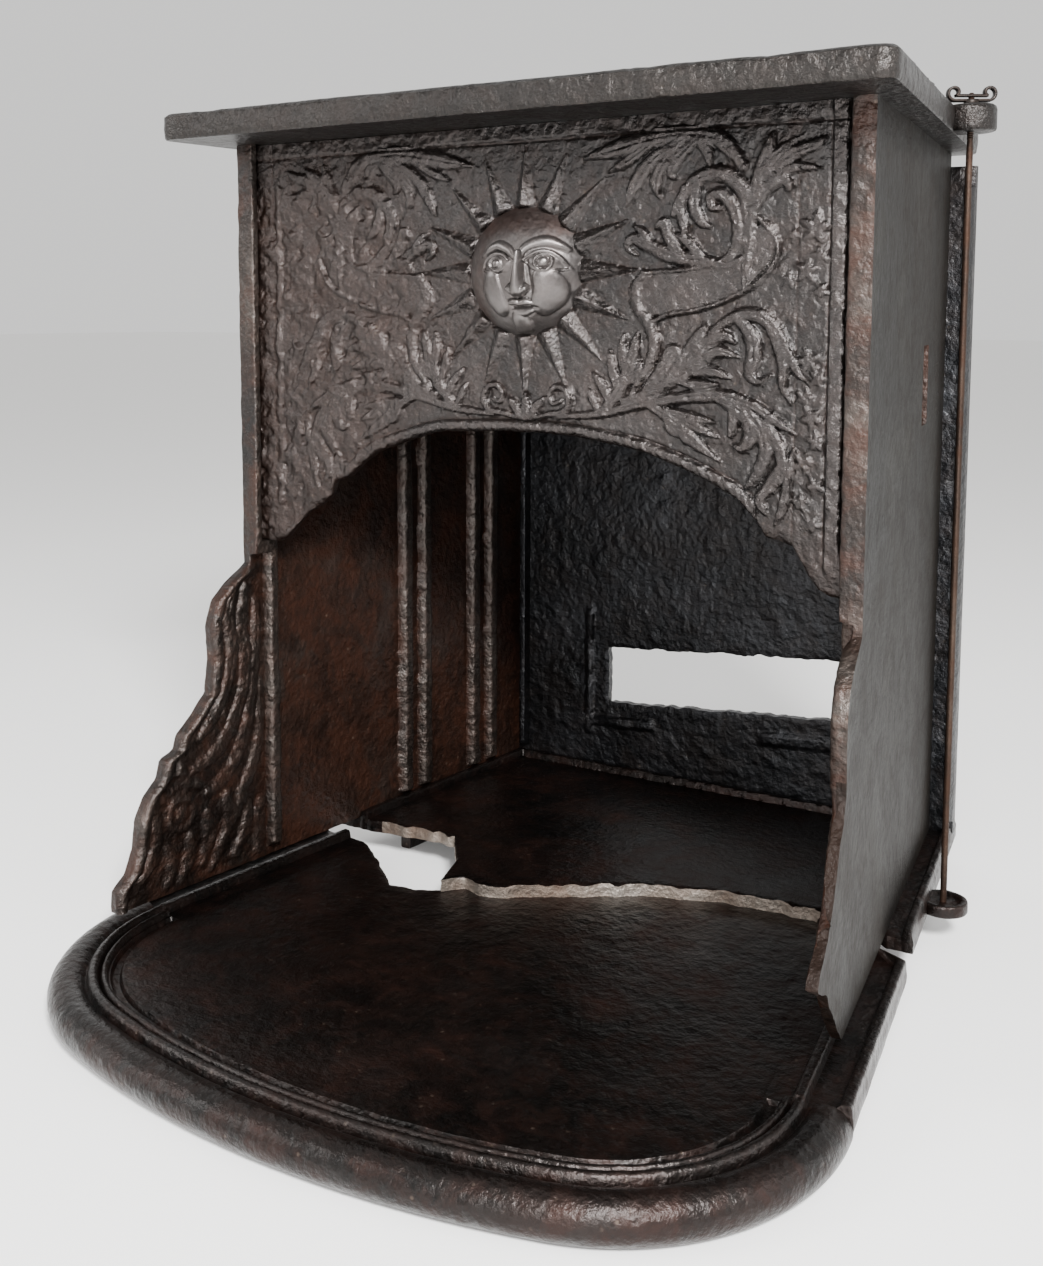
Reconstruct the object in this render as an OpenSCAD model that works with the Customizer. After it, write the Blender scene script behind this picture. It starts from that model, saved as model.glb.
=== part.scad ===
// A cast-iron plate stove, open in front: plates held in ledges and drawn together by two screw rods.
// Every plate is placed in the stove's own frame: x = 0 in the middle, y = 0 at the front edges of
// the side plates, z = 0 at the hearth surface they stand on. The module placed() moves that frame
// so that the origin lies under the middle of the whole stove, on the floor.

/* [Overall] */
// Width across the outer faces of the side plates, at their front edges
stove_w = 610; // [500:1:740]
// Depth of a side plate, front edge to back edge
stove_d = 440; // [365:1:540]
// Height of the side plates
side_h = 700; // [580:1:850]
// Angle by which each side plate turns inwards towards the back
splay = 6.75; // [0:0.25:9]

/* [Plates] */
// Thickness of the side plates
side_t = 9; // [7:0.5:12]
// Thickness of the front plate
front_t = 8; // [6:0.5:11]
// Thickness of the back plate
back_t = 10; // [7:0.5:13]
// Thickness of the hearth plate
hearth_t = 13; // [9:0.5:16]
// Thickness of the top plate at its edge
top_t = 24; // [18:0.5:30]
// How far the hearth, back and top plates stand out beyond the side plates
flange = 24; // [20:0.5:30]
// Thickness of the top plate over the fire
top_web = 10; // [7:0.5:14]
// How far the top plate stands out in front of the side plates
top_front = 70; // [40:1:90]
// How far the back plate stops below the top plate
back_drop = 12; // [4:1:20]

/* [Ledges] */
// Width of a cast ledge
ledge_w = 9; // [7:0.5:11]
// How far an upright ledge stands out of its plate
ledge_h = 10; // [7:0.5:13]
// Height of the low ledges on the hearth
wall_h = 8; // [5:0.5:11]
// Clearance between a plate and the ledge beside it
seat_gap = 0.5; // [0.2:0.1:0.9]
// Clear width between the two ledges of a pair
pair_gap = 24; // [18:0.5:28]
// Depth at which the front of the lost air box was held
airbox_front = 241; // [200:1:260]
// Depth at which the back of the lost air box was held
airbox_back = 361; // [320:1:372]

/* [Front plate] */
// Height of the shoulders that carry the front plate, above the hearth
shoulder_z = 322; // [280:1:360]
// Height of the shoulders themselves
shoulder_h = 14; // [8:1:20]
// Height of the arch at its crown, above the hearth
arch_z = 438; // [400:1:470]
// Half of the width of the arched part
arch_half = 206; // [160:1:230]
// Height of the raised relief
relief = 4; // [2:0.5:6]
// Radius of the domed boss
sun_r = 54; // [45:1:62]
// How far the domed boss stands out
sun_rise = 28; // [18:1:32]
// Distance of the boss to the right of the middle
sun_x = 6; // [0:1:20]
// Distance of the middle of the boss below the top of the side plates
sun_drop = 123; // [115:1:135]
// Number of rays
ray_count = 16; // [12:2:20]
// Distance from the middle of the boss to a ray's tip
ray_reach = 105; // [90:1:108]

/* [Wings] */
// How far a wing reaches forwards of the side plate, at its foot
wing_out = 168; // [140:1:180]
// Height of a wing
wing_h = 300; // [250:1:300]
// Width of the raised rim along a wing's edge
rim_w = 10; // [7:0.5:13]
// Height of that rim
rim_rise = 4; // [2:0.5:6]

/* [Hearth] */
// How far the rounded front of the hearth lies in front of the side plates
hearth_front = 350; // [340:1:370]
// Radius of the hearth's front corners
corner_r = 188; // [170:1:195]
// Distance of the corners' centres in front of the side plates
corner_y = 140; // [130:1:160]
// Radius of the rolled edge
roll_r = 17; // [14:0.5:20]
// How far the rolled edge rises above the front piece's surface
roll_rise = 6; // [3:0.5:9]

/* [Slot] */
// Left end of the smoke slot in the back plate, from the middle
slot_left = -124; // [-150:1:-90]
// Right end of the smoke slot
slot_right = 164; // [130:1:180]
// Height of the slot's lower left corner above the hearth
slot_z = 81; // [60:1:100]
// Height of the slot
slot_h = 67; // [50:1:80]
// How much higher the slot's right end lies
slot_rise = 21; // [0:1:30]

/* [Rods and nuts] */
// Radius of a screw rod
rod_r = 3; // [2.5:0.1:4]
// Distance of a rod outside the side plate
rod_out = 36; // [34:0.5:40]
// Depth at which the rods stand
rod_y = 266; // [220:1:300]
// Radius of an ear
ear_r = 22; // [19:0.5:25]
// Thickness of a hearth ear
ear_t = 12; // [9:0.5:16]
// Radial clearance between a rod and its ear
rod_gap = 0.4; // [0.2:0.1:0.8]
// Radial running clearance between a rod and its nut
nut_gap = 0.08; // [0.03:0.01:0.1]
// Distance from the rod to the middle of a scroll
scroll_at = 15; // [12:0.5:17]
// Outer radius of a scroll
scroll_r = 7.5; // [6:0.5:9]
// Thickness of the scroll's strap
strap_t = 2.6; // [2:0.1:3]
// Width of the scroll's strap
strap_w = 7; // [5:0.5:9]
// Direction in which the nut's arms point, from +X
nut_turn = 31; // [0:1:90]

/* [Hidden] */
$fn = 64;
// overlap of solids that are joined into one piece
eps = 0.5;
half_w = stove_w / 2;
rear_y = stove_d * cos(splay);
back_y = rear_y + seat_gap;
back_half = half_w - stove_d * sin(splay) + flange;
back_top = side_h - back_drop;
hearth_back = back_y + back_t + pair_gap;
top_back = back_y + back_t + seat_gap + 4;
// the front plate's groove in a side plate, wide enough for a plate that stands square to the stove
groove_w = (front_t + 2 * seat_gap + ledge_h * sin(splay)) / cos(splay) + 0.2;
front_y = ledge_w * cos(splay) - side_t * sin(splay) + seat_gap;
front_half = half_w - side_t / cos(splay) - front_y * tan(splay) - front_t * tan(splay) - seat_gap;
groove_end = ledge_w + groove_w;
rib_foot = wall_h + 2;
front_top = -hearth_t;
floor_z = front_top + roll_rise - 2 * roll_r;
// direction square to a side plate, and the distance of its outer face along it
side_reach = half_w * cos(splay);
rim_reach = side_reach + flange;
corner_x = (rim_reach - corner_r + corner_y * sin(splay)) / cos(splay);
// the front edge is one large arc tangent to both corner arcs
bow_c = (corner_x ^ 2 + corner_y ^ 2 - (hearth_front - corner_r) ^ 2)
    / (2 * (hearth_front - corner_r) - 2 * corner_y);
bow_r = bow_c + hearth_front;
bow_a = atan(corner_x / (bow_c + corner_y));
// width of the moulding inside the roll's middle line
moulding_w = 34;
rod_x = (side_reach + rod_out - rod_y * sin(splay)) / cos(splay);
// the bow's section is this much slimmer than the corners', so that the arcs' faces never coincide
bow_slim = 0.3;
middle_y = (hearth_back - hearth_front + bow_slim) / 2;
wing_lobes = [[0.09, 0.82, 0.12], [0.357, 0.44, 0.113], [0.506, 0.2, 0.193], [0.869, 0.04, 0.073]];
wing_fill = [[0, 0], [0.87, 0], [0.8, 0.22], [0.6, 0.4], [0.42, 0.53], [0.33, 0.6], [0.295, 0.7],
    [0.3, 0.83], [0.2, 0.92], [0, 1]];
// where the front edge of the right wing broke away, as parts of the wing's reach and height
right_break = [[1.49, 0.63], [0.27, 0.63], [0.33, 0.57], [0.42, 0.53], [0.48, 0.46], [0.54, 0.39],
    [0.64, 0.34], [0.76, 0.31], [0.82, 0.27], [0.73, 0.23], [0.6, 0.25], [0.55, 0.17], [0.43, 0.09],
    [0.32, 0.04], [0.23, -0.02], [1.49, -0.02]];
// rear edge of the front hearth piece, left to right: part of the half width, depth
front_break = [[-1.25, 140], [-0.87, 127], [-0.8, 118], [-0.545, 48], [-0.45, 50], [-0.37, 66], [-0.315, 90],
    [-0.243, 84], [-0.17, 92], [-0.016, 122], [0.187, 165], [0.416, 190], [0.685, 200], [0.86, 176],
    [0.94, 132], [1.25, 126]];
// front edge of the rear hearth piece, left to right
rear_break = [[-1.25, 150], [-0.84, 151], [-0.6, 162], [-0.53, 158], [-0.413, 107], [-0.367, 56],
    [-0.315, 76], [-0.243, 67], [-0.17, 76], [-0.016, 107], [0.187, 149], [0.416, 174], [0.538, 178],
    [0.86, 184], [0.94, 160], [1.25, 164]];
// the plate's lower ends beside the arch: part of the way out to the plate's end, height over the shoulder
right_steps = [[0.07, 48], [0.18, 40], [0.44, 36], [0.55, 22], [0.64, 6], [0.8, 0]];
left_steps = [[0.04, 50], [0.18, 38], [0.44, 32], [0.51, 18], [0.64, 2], [0.82, 0]];
// the air box's outlet in a side plate: width, height, distance of its foot below the plate's top
air_hole = [35, 75, 262];
// a small hole for a damper's pivot: depth, height, radius
pivot_hole = [-28, 130, 3.5];
// the carrying ribs under the hearth: distance in from the side plate's inner face, and thickness
under_in = 34;
under_t = 12;
// the thinned middle of the top plate: margin inside the side plates, and behind the front plate
web_margin = 30;
web_front = 60;
web_reach = side_reach - side_t - web_margin;
// the locating ledges under the top plate
locate_h = 8;
// how far ledges on the back plate stay short of its top
ledge_short = 20;
// the slot's broken frame: bar width, bar height and how far the bars run past the slot
frame_bar = 10;
frame_rise = 4;
frame_past = 34;
// the two small beads inside the roll: distance in from it, and radius
bead_1 = [20, 4.5];
bead_2 = [29, 3];

// ledges stand this far in from the edge of their plate
edge_step = 1;
back_ledge = (rim_reach - hearth_back * sin(splay)) / cos(splay) - 2 * edge_step;
// the rods' ends and the nuts' hubs
nut_z = side_h + top_t;
hub_h = 4.5;
hub_r = 6.5;
button_r = 8;
button_t = 4;
rod_end = 6;

// ---- helpers -------------------------------------------------------------------------------------

function unit(v) = v / norm(v);

// moves a piece from the stove's frame to the floor frame
module placed() translate([0, -middle_y, -floor_z]) children();

// puts a right-hand shape on the right (side = 1) or mirrored on the left (side = -1)
module on_side(side) mirror([side > 0 ? 0 : 1, 0, 0]) children();

// a side plate's own frame: x = 0 is its outer face, y runs back along the plate
module side_frame() translate([half_w, 0, 0]) rotate([0, 0, splay]) children();

// a flat shape drawn as (depth, height), made into a plate between x0 and x1
module upright(x0, x1) translate([x0, 0, 0]) rotate([90, 0, 90]) linear_extrude(x1 - x0) children();

// a flat shape drawn as (x, height), made into a plate between y0 and y1
module facing(y0, y1) translate([0, y1, 0]) rotate([90, 0, 0]) linear_extrude(y1 - y0) children();

// a convex outline with its corners rounded by radius r
module rounded(points, r) {
    n = len(points);
    arms = [for (i = [0 : n - 1]) [
        unit(points[(i + n - 1) % n] - points[i]),
        unit(points[(i + 1) % n] - points[i])]];
    halves = [for (a = arms) acos(a[0] * a[1]) / 2];
    polygon([for (i = [0 : n - 1]) each [
        points[i] + arms[i][0] * r / tan(halves[i]),
        points[i] + arms[i][1] * r / tan(halves[i])]]);
    for (i = [0 : n - 1])
        translate(points[i] + unit(arms[i][0] + arms[i][1]) * r / sin(halves[i])) circle(r);
}

// ---- side plates ---------------------------------------------------------------------------------

// the outline of a wing, moved back from its edge by inset
module wing_outline(inset) intersection() {
    union() {
        for (lobe = wing_lobes)
            translate([-lobe[0] * wing_out, lobe[1] * wing_h]) circle(lobe[2] * wing_h - inset);
        polygon([for (p = wing_fill) [-p[0] * wing_out + inset, p[1] * wing_h - inset]]);
    }
    translate([-2 * wing_out, 0]) square([3 * wing_out, wing_h]);
}

module wing_loss() polygon([for (p = right_break) [-p[0] * wing_out, p[1] * wing_h]]);

module wing_shape(broken) difference() {
    wing_outline(0);
    if (broken) wing_loss();
}

module wing_rim(broken) difference() {
    wing_outline(0);
    wing_outline(rim_w);
    translate([-wing_out, -1]) square([2 * wing_out, rim_w]);
    if (broken) wing_loss();
    translate([0, -1]) square([wing_out, 2 * wing_h]);
}

// one upright ledge whose front side lies at depth y
module rib(y, z0, z1)
    translate([-side_t - ledge_h, y, z0]) cube([ledge_h + eps, ledge_w, z1 - z0]);

module rib_pair(middle, z0, z1) for (s = [-1, 1])
    rib(middle + s * (pair_gap + ledge_w) / 2 - ledge_w / 2, z0, z1);

module side_plate(side) on_side(side) side_frame() difference() {
    broken = side > 0;
    union() {
        upright(-side_t, 0) union() {
            square([stove_d, side_h]);
            wing_shape(broken);
        }
        upright(-side_t - rim_rise, -side_t + eps) wing_rim(broken);
        // the front pair holds the front plate and ends in a shoulder under it
        rib(0, shoulder_z - shoulder_h, side_h);
        rib(groove_end, rib_foot, side_h);
        translate([-side_t - ledge_h, 0, shoulder_z - shoulder_h])
            cube([ledge_h + eps, groove_end + eps, shoulder_h]);
        // two pairs held the plates of the lost air box
        rib_pair(airbox_front, rib_foot, side_h - ledge_h);
        rib_pair(airbox_back, rib_foot, side_h - ledge_h);
    }
    // warm air left the air box through this hole
    upright(-side_t - 1, 1) translate([(airbox_front + airbox_back - air_hole[0]) / 2, side_h - air_hole[2]])
        square([air_hole[0], air_hole[1]]);
    if (broken) upright(-side_t - 1, 1) translate([pivot_hole[0], pivot_hole[1]]) circle(pivot_hole[2]);
}

module left_side_plate() color("#3a2c28") side_plate(-1);
module right_side_plate() color("#55534c") side_plate(1);

// ---- front plate ---------------------------------------------------------------------------------

function arch_height(x) = arch_z - 50 * pow(abs(x) / arch_half, 2.7);

arch_curve = [for (i = [-16 : 16]) let (x = arch_half * i / 16) [x, arch_height(x)]];

function step_point(p, side) = [side * (arch_half + p[0] * (front_half - arch_half)), shoulder_z + p[1]];

// the plate's outline; lift moves the arch and its stepped ends upwards
module front_outline(lift, edge) polygon(concat(
    [[front_half - edge, side_h - seat_gap], [-front_half + edge, side_h - seat_gap],
     [-front_half + edge, shoulder_z + lift]],
    [for (i = [len(left_steps) - 1 : -1 : 0]) step_point(left_steps[i], -1) + [0, lift]],
    [for (p = arch_curve) p + [0, lift]],
    [for (p = right_steps) step_point(p, 1) + [0, lift]],
    [[front_half - edge, shoulder_z + lift]]));

module sun() {
    sun_z = side_h - sun_drop;
    ball_r = (sun_r ^ 2 + sun_rise ^ 2) / (2 * sun_rise);
    intersection() {
        translate([sun_x, front_y + ball_r - sun_rise, sun_z]) sphere(ball_r, $fn = 96);
        translate([sun_x - sun_r - 1, front_y - sun_rise - 1, sun_z - sun_r - 1])
            cube([2 * sun_r + 2, sun_rise + 1 + front_t / 2, 2 * sun_r + 2]);
    }
    facing(front_y - relief, front_y + eps) translate([sun_x, sun_z])
        for (i = [0 : ray_count - 1]) rotate(i * 360 / ray_count)
            polygon([[-10, sun_r - 8], [10, sun_r - 8], [0, ray_reach]]);
}

module front_plate() color("#3b3531") union() {
    facing(front_y, front_y + front_t) front_outline(0, 0);
    sun();
    // a bead follows the arch
    facing(front_y - relief, front_y + eps) difference() {
        front_outline(0, ledge_h + 4);
        front_outline(9, ledge_h - 5);
    }
    // a raised frame inside the visible edge
    facing(front_y - relief, front_y + eps) for (s = [-1, 1])
        translate([s * (front_half - ledge_h - 14) - 4, shoulder_z + 40]) square([8, side_h - shoulder_z - 62]);
    facing(front_y - relief / 2, front_y + eps)
        translate([-front_half + ledge_h + 10, side_h - 26]) square([2 * (front_half - ledge_h - 10), 5]);
}

// ---- back plate ----------------------------------------------------------------------------------

module back_plate() color("#39393a") difference() {
    union() {
        facing(back_y, back_y + back_t)
            rounded([[-back_half, 0], [back_half, 0], [back_half, back_top], [-back_half, back_top]], 8);
        // a pair of ledges on each side takes the back edge of a side plate
        for (s = [-1, 1]) {
            on_side(s) for (x = [back_half - ledge_w, back_half - flange - side_t - ledge_w - 4])
                translate([x, back_y - ledge_h, rib_foot + 4])
                    cube([ledge_w, ledge_h + eps, back_top - rib_foot - 4 - ledge_short]);
        }
        // what is left of the slot's raised frame
        translate([slot_left - frame_past, back_y - frame_rise, slot_z - 16])
            cube([slot_h + frame_past, frame_rise + eps, frame_bar]);
        translate([slot_left - frame_past, back_y - frame_rise, slot_z - 8])
            cube([frame_bar, frame_rise + eps, slot_h / 2]);
        translate([slot_right - slot_h, back_y - frame_rise, slot_z - 2])
            cube([slot_h + frame_bar, frame_rise + eps, frame_bar]);
    }
    facing(back_y - ledge_h - 1, back_y + back_t + 1) polygon([[slot_left, slot_z],
        [slot_right, slot_z + slot_rise], [slot_right, slot_z + slot_h + slot_rise],
        [slot_left, slot_z + slot_h]]);
    // a shallow rebate at the slot's left end
    translate([slot_left - 21, back_y - 1, slot_z - 3]) cube([22, back_t / 2 + 1, slot_h + 4]);
}

// ---- hearth --------------------------------------------------------------------------------------

// the plan inside the rolled edge's middle line
module hearth_plan(inset) {
    c = [corner_x, -corner_y];
    side = [cos(splay), sin(splay)];
    front_pt = c + (corner_r - inset) * side;
    back_pt = [(rim_reach - inset - (hearth_back - inset) * sin(splay)) / cos(splay), hearth_back - inset];
    bow_pt = c + (corner_r - inset) * [sin(bow_a), -cos(bow_a)];
    polygon([front_pt, back_pt, [-back_pt[0], back_pt[1]], [-front_pt[0], front_pt[1]],
        [-bow_pt[0], bow_pt[1]], bow_pt]);
    for (s = [-1, 1]) translate([s * corner_x, -corner_y]) circle(corner_r - inset, $fn = 128);
    intersection() {
        translate([0, bow_c]) circle(bow_r - inset, $fn = 256);
        translate([-bow_pt[0], -hearth_front - 1]) square([2 * bow_pt[0], hearth_front]);
    }
}

// a strip along the side plate's line, between two distances outside its outer face
module side_strip(out0, out1, y0, y1) for (s = [-1, 1]) on_side(s) side_frame()
    translate([out0, y0, 0]) cube([out1 - out0, y1 - y0, wall_h + eps]);

// the low ledges between which the upright plates stand
module hearth_ledges(y0, y1) translate([0, 0, -eps]) {
    side_strip(flange - ledge_w - edge_step, flange - edge_step, y0, y1);
    side_strip(-side_t - seat_gap - ledge_w, -side_t - seat_gap, y0, y1);
}

// everything on one side of a break line, as far as depth y
module region(points, y) linear_extrude(400, center = true)
    polygon(concat([for (p = points) [p[0] * half_w, p[1]]],
        [[points[len(points) - 1][0] * half_w, y], [points[0][0] * half_w, y]]));

module ear(t) difference() {
    translate([rod_x, rod_y, -t]) cylinder(r = ear_r, h = t);
    rod_hole();
}

module rod_hole() translate([rod_x, rod_y, -200]) cylinder(r = rod_r + rod_gap, h = 1500);

// the moulding's section, drawn outwards from an arc's centre: a roll, then two small beads inside it
module moulding_section(arc_r, slim) {
    middle = arc_r - roll_r;
    translate([middle, floor_z + roll_r]) circle(roll_r - slim);
    translate([middle - moulding_w + slim, front_top - hearth_t + 1 + slim])
        square([moulding_w + 3 - 2 * slim, hearth_t + 2 - 2 * slim]);
    for (bead = [bead_1, bead_2]) translate([middle - bead[0], front_top + 2]) circle(bead[1] - slim);
}

// the middle arc is a hair slimmer and runs a little way into the corner arcs
module fender() {
    for (s = [-1, 1]) on_side(s) translate([corner_x, -corner_y, 0])
        rotate([0, 0, -90 + bow_a]) rotate_extrude(angle = 90 - bow_a, $fn = 128)
            moulding_section(corner_r, 0);
    bow_turn = bow_a + 0.05;
    translate([0, bow_c, 0]) rotate([0, 0, -90 - bow_turn])
        rotate_extrude(angle = 2 * bow_turn, $fn = 256) moulding_section(bow_r, bow_slim);
}

// plain ribs under the plate, which carry it on the floor
module under_rib(y0, y1, top) for (s = [-1, 1]) on_side(s) side_frame()
    translate([-side_t - under_in, y0, floor_z]) cube([under_t, y1 - y0, top - floor_z]);

module hearth_front() color("#1f1b19") difference() {
    union() {
        intersection() {
            union() {
                translate([0, 0, front_top - hearth_t]) linear_extrude(hearth_t)
                    hearth_plan(roll_r + 5);
                translate([0, 0, front_top - hearth_t]) linear_extrude(hearth_t) difference() {
                    hearth_plan(edge_step);
                    translate([-half_w * 2, -hearth_front * 2])
                        square([half_w * 4, hearth_front * 2 - corner_y - 2 * edge_step]);
                }
                translate([0, 0, front_top]) hearth_ledges(-corner_y + 5, airbox_front);
            }
            region(front_break, -hearth_front * 2);
        }
        fender();
        under_rib(-corner_y + 10, 60, front_top - eps);
    }
    // the hollow between the moulding and the hearth surface
    translate([0, 0, front_top - 4]) linear_extrude(20) difference() {
        intersection() {
            hearth_plan(roll_r + moulding_w + 1);
            translate([-half_w * 2, -hearth_front * 2]) square([half_w * 4, hearth_front * 2 - corner_y - 20]);
        }
        hearth_plan(roll_r + moulding_w + 9);
    }
}

module hearth_rear() color("#2a2422") difference() {
    union() {
        intersection() {
            union() {
                translate([0, 0, -hearth_t]) linear_extrude(hearth_t) hearth_plan(0);
                hearth_ledges(100, rear_y - ledge_h - 4);
                // the pair across the back
                translate([-back_half + flange + side_t + 16, back_y - pair_gap - ledge_w, -eps])
                    cube([2 * (back_half - flange - side_t - 16), ledge_w, wall_h + eps]);
                translate([-back_ledge, hearth_back - ledge_w - edge_step, -eps])
                    cube([2 * back_ledge, ledge_w, wall_h + eps]);
            }
            region(rear_break, hearth_back * 2);
        }
        for (s = [-1, 1]) on_side(s) ear(ear_t);
        under_rib(airbox_front, rear_y - 20, -eps);
        translate([-back_half + 60, rear_y - 20, floor_z]) cube([2 * back_half - 120, under_t, -floor_z - eps]);
    }
    for (s = [-1, 1]) on_side(s) {
        rod_hole();
        // a shallow dish round the rod
        translate([rod_x, rod_y, -3]) cylinder(r = ear_r - 7, h = 60);
    }
}

// ---- top plate -----------------------------------------------------------------------------------

function side_at(reach, y) = (reach - y * sin(splay)) / cos(splay);

module top_plate() color("#35302d") difference() {
    union() {
        translate([0, 0, side_h]) linear_extrude(top_t) rounded([
            [-side_at(rim_reach, -top_front), -top_front], [side_at(rim_reach, -top_front), -top_front],
            [side_at(rim_reach, top_back), top_back], [-side_at(rim_reach, top_back), top_back]], 12);
        for (s = [-1, 1]) on_side(s) {
            translate([rod_x, rod_y, side_h]) cylinder(r = ear_r, h = top_t);
            translate([rod_x - rod_out, rod_y - ear_r, side_h]) cube([rod_out, 2 * ear_r, top_t]);
            // a ledge inside each side plate keeps it in place
            side_frame() translate([-side_t - seat_gap - ledge_w, groove_end + ledge_w + 6, side_h - locate_h])
                cube([ledge_w, airbox_front - pair_gap - groove_end - 30, locate_h + eps]);
        }
        translate([-back_half + flange + side_t + 18, back_y - seat_gap - ledge_w, side_h - locate_h])
            cube([2 * (back_half - flange - side_t - 18), ledge_w, locate_h + eps]);
    }
    // the plate is thinner over the fire
    translate([0, 0, side_h - 1]) linear_extrude(top_t - top_web + 1) polygon([
        [-side_at(web_reach, web_front), web_front], [side_at(web_reach, web_front), web_front],
        [side_at(web_reach, rear_y - web_margin), rear_y - web_margin],
        [-side_at(web_reach, rear_y - web_margin), rear_y - web_margin]]);
    for (s = [-1, 1]) on_side(s) rod_hole();
}

// ---- rods and nuts -------------------------------------------------------------------------------

module screw_rod() translate([rod_x, rod_y, 0]) {
    translate([0, 0, -ear_t - eps]) cylinder(r = rod_r, h = nut_z + hub_h + rod_end + ear_t + eps);
    translate([0, 0, -ear_t - button_t]) cylinder(r = button_r, h = button_t);
}

// the scroll's strap from below its centre, outwards, over the top and in again, drawn as (out, up)
module scroll_shape() {
    difference() {
        circle(scroll_r);
        circle(scroll_r - strap_t);
        polygon([[0, 0], [-2 * scroll_r, -0.2 * scroll_r], [-2 * scroll_r, -2 * scroll_r], [0, -2 * scroll_r]]);
    }
    translate([-scroll_r / 2 + strap_t / 4, 0]) difference() {
        circle(scroll_r / 2 + strap_t / 4);
        circle(scroll_r / 2 - strap_t * 3 / 4);
        translate([-scroll_r, 0]) square([2 * scroll_r, scroll_r]);
    }
}

module scroll_nut() translate([rod_x, rod_y, nut_z]) rotate([0, 0, nut_turn]) difference() {
    union() {
        cylinder(r = hub_r, h = hub_h);
        translate([-scroll_at, -strap_w / 2, 1]) cube([2 * scroll_at, strap_w, strap_t]);
        for (a = [0, 180]) rotate([0, 0, a]) translate([scroll_at, strap_w / 2, 1 + scroll_r])
            rotate([90, 0, 0]) linear_extrude(strap_w) scroll_shape();
    }
    translate([0, 0, -1]) cylinder(r = rod_r + nut_gap, h = hub_h + 2);
}

module left_screw_rod() color("#4a3a32") on_side(-1) screw_rod();
module right_screw_rod() color("#4a3a32") on_side(1) screw_rod();
module left_scroll_nut() color("#332f2e") on_side(-1) scroll_nut();
module right_scroll_nut() color("#332f2e") on_side(1) scroll_nut();

placed() hearth_front();
placed() hearth_rear();
placed() left_side_plate();
placed() right_side_plate();
placed() back_plate();
placed() front_plate();
placed() top_plate();
placed() left_screw_rod();
placed() right_screw_rod();
placed() left_scroll_nut();
placed() right_scroll_nut();
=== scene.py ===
import math
import bpy
import bmesh
import numpy as np
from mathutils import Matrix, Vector
from mathutils.kdtree import KDTree


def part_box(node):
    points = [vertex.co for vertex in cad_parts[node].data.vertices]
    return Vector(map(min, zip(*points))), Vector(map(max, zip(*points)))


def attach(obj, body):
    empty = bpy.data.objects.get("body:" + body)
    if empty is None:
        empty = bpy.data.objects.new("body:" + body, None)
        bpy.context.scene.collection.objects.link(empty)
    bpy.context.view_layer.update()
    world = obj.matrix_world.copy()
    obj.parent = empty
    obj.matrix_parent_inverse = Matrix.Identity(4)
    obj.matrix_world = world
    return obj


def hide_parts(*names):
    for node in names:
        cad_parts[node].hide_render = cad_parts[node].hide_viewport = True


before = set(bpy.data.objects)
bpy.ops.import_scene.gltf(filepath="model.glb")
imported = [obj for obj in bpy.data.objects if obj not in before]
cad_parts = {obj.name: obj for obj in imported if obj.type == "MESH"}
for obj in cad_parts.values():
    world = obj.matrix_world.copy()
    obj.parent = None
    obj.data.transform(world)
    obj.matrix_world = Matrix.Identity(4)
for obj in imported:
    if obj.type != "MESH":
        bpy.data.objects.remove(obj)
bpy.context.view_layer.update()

# %% [markdown]
# # An old cast-iron plate stove, broken and rusted
# The stove is a handful of sand-cast plates. Each was poured in an open bed of sand, so its faces
# are pebbly, its edges soft and its ornament carved once in a wooden pattern. This lesson builds each
# plate as a fine grid whose points are pushed out by drawn relief, which is close to how the founder
# pressed a pattern into sand. All lengths are written in millimetres in the stove's own frame: x = 0
# in the middle, y = 0 at the front edges of the side plates, z = 0 at the hearth that they stand on.

# %% The stove's frame, taken from the fixed model
MM = 0.001
SPLAY = math.radians(6.75)
PLATE_DEPTH = 440.0
SIDE_H = 700.0
HEARTH_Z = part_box("left_side_plate")[0].z
FRONT_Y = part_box("left_side_plate")[1].y - PLATE_DEPTH * math.cos(SPLAY) * MM
HALF_W = 305.0
SIDE_T, FRONT_T, BACK_T = 9.0, 8.0, 10.0
FACE_Y = (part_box("front_plate")[1].y - FRONT_Y) / MM - FRONT_T
BACK_Y = (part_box("back_plate")[1].y - FRONT_Y) / MM - BACK_T
TOP_T = (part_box("top_plate")[1].z - HEARTH_Z) / MM - SIDE_H
REACH = HALF_W * math.cos(SPLAY)
FLOOR_Z = -HEARTH_Z / MM
print("front face y", round(FACE_Y, 2), "back plate y", round(BACK_Y, 2), "floor z", round(FLOOR_Z, 2))


def to_world(p):
    """stove millimetres (n, 3) to metres on the floor"""
    p = np.asarray(p, float)
    return p * MM + np.array([0.0, FRONT_Y, HEARTH_Z])


# %% [markdown]
# ## Sand-cast roughness
# Iron poured in sand copies every grain, and rust then eats pits in it. One lattice noise, summed at
# a few sizes, stands for both. It is worked out for all the points of a grid at once.

# %% Lattice noise
def lattice(i, j, k, seed):
    """a value from -1 to 1 for each lattice point; the large numbers only scramble its bits"""
    h = (i * 374761393 + j * 668265263 + k * 1440662683 + seed * 974634777) & 0xFFFFFFFF
    h = ((h ^ (h >> 13)) * 1274126177) & 0xFFFFFFFF
    return ((h ^ (h >> 16)) & 0xFFFF) / 32767.5 - 1.0


def grain(p, size, seed=0):
    """smooth noise from -1 to 1, with lumps about size millimetres apart"""
    q = np.asarray(p, float) / size
    base = np.floor(q).astype(np.int64)
    f = q - base
    f = f * f * (3 - 2 * f)
    total = 0.0
    for corner in range(8):
        d = np.array([corner & 1, corner >> 1 & 1, corner >> 2 & 1])
        weight = np.prod(np.where(d, f, 1 - f), axis=1)
        total = total + weight * lattice(*(base + d).T, seed)
    return total


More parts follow.
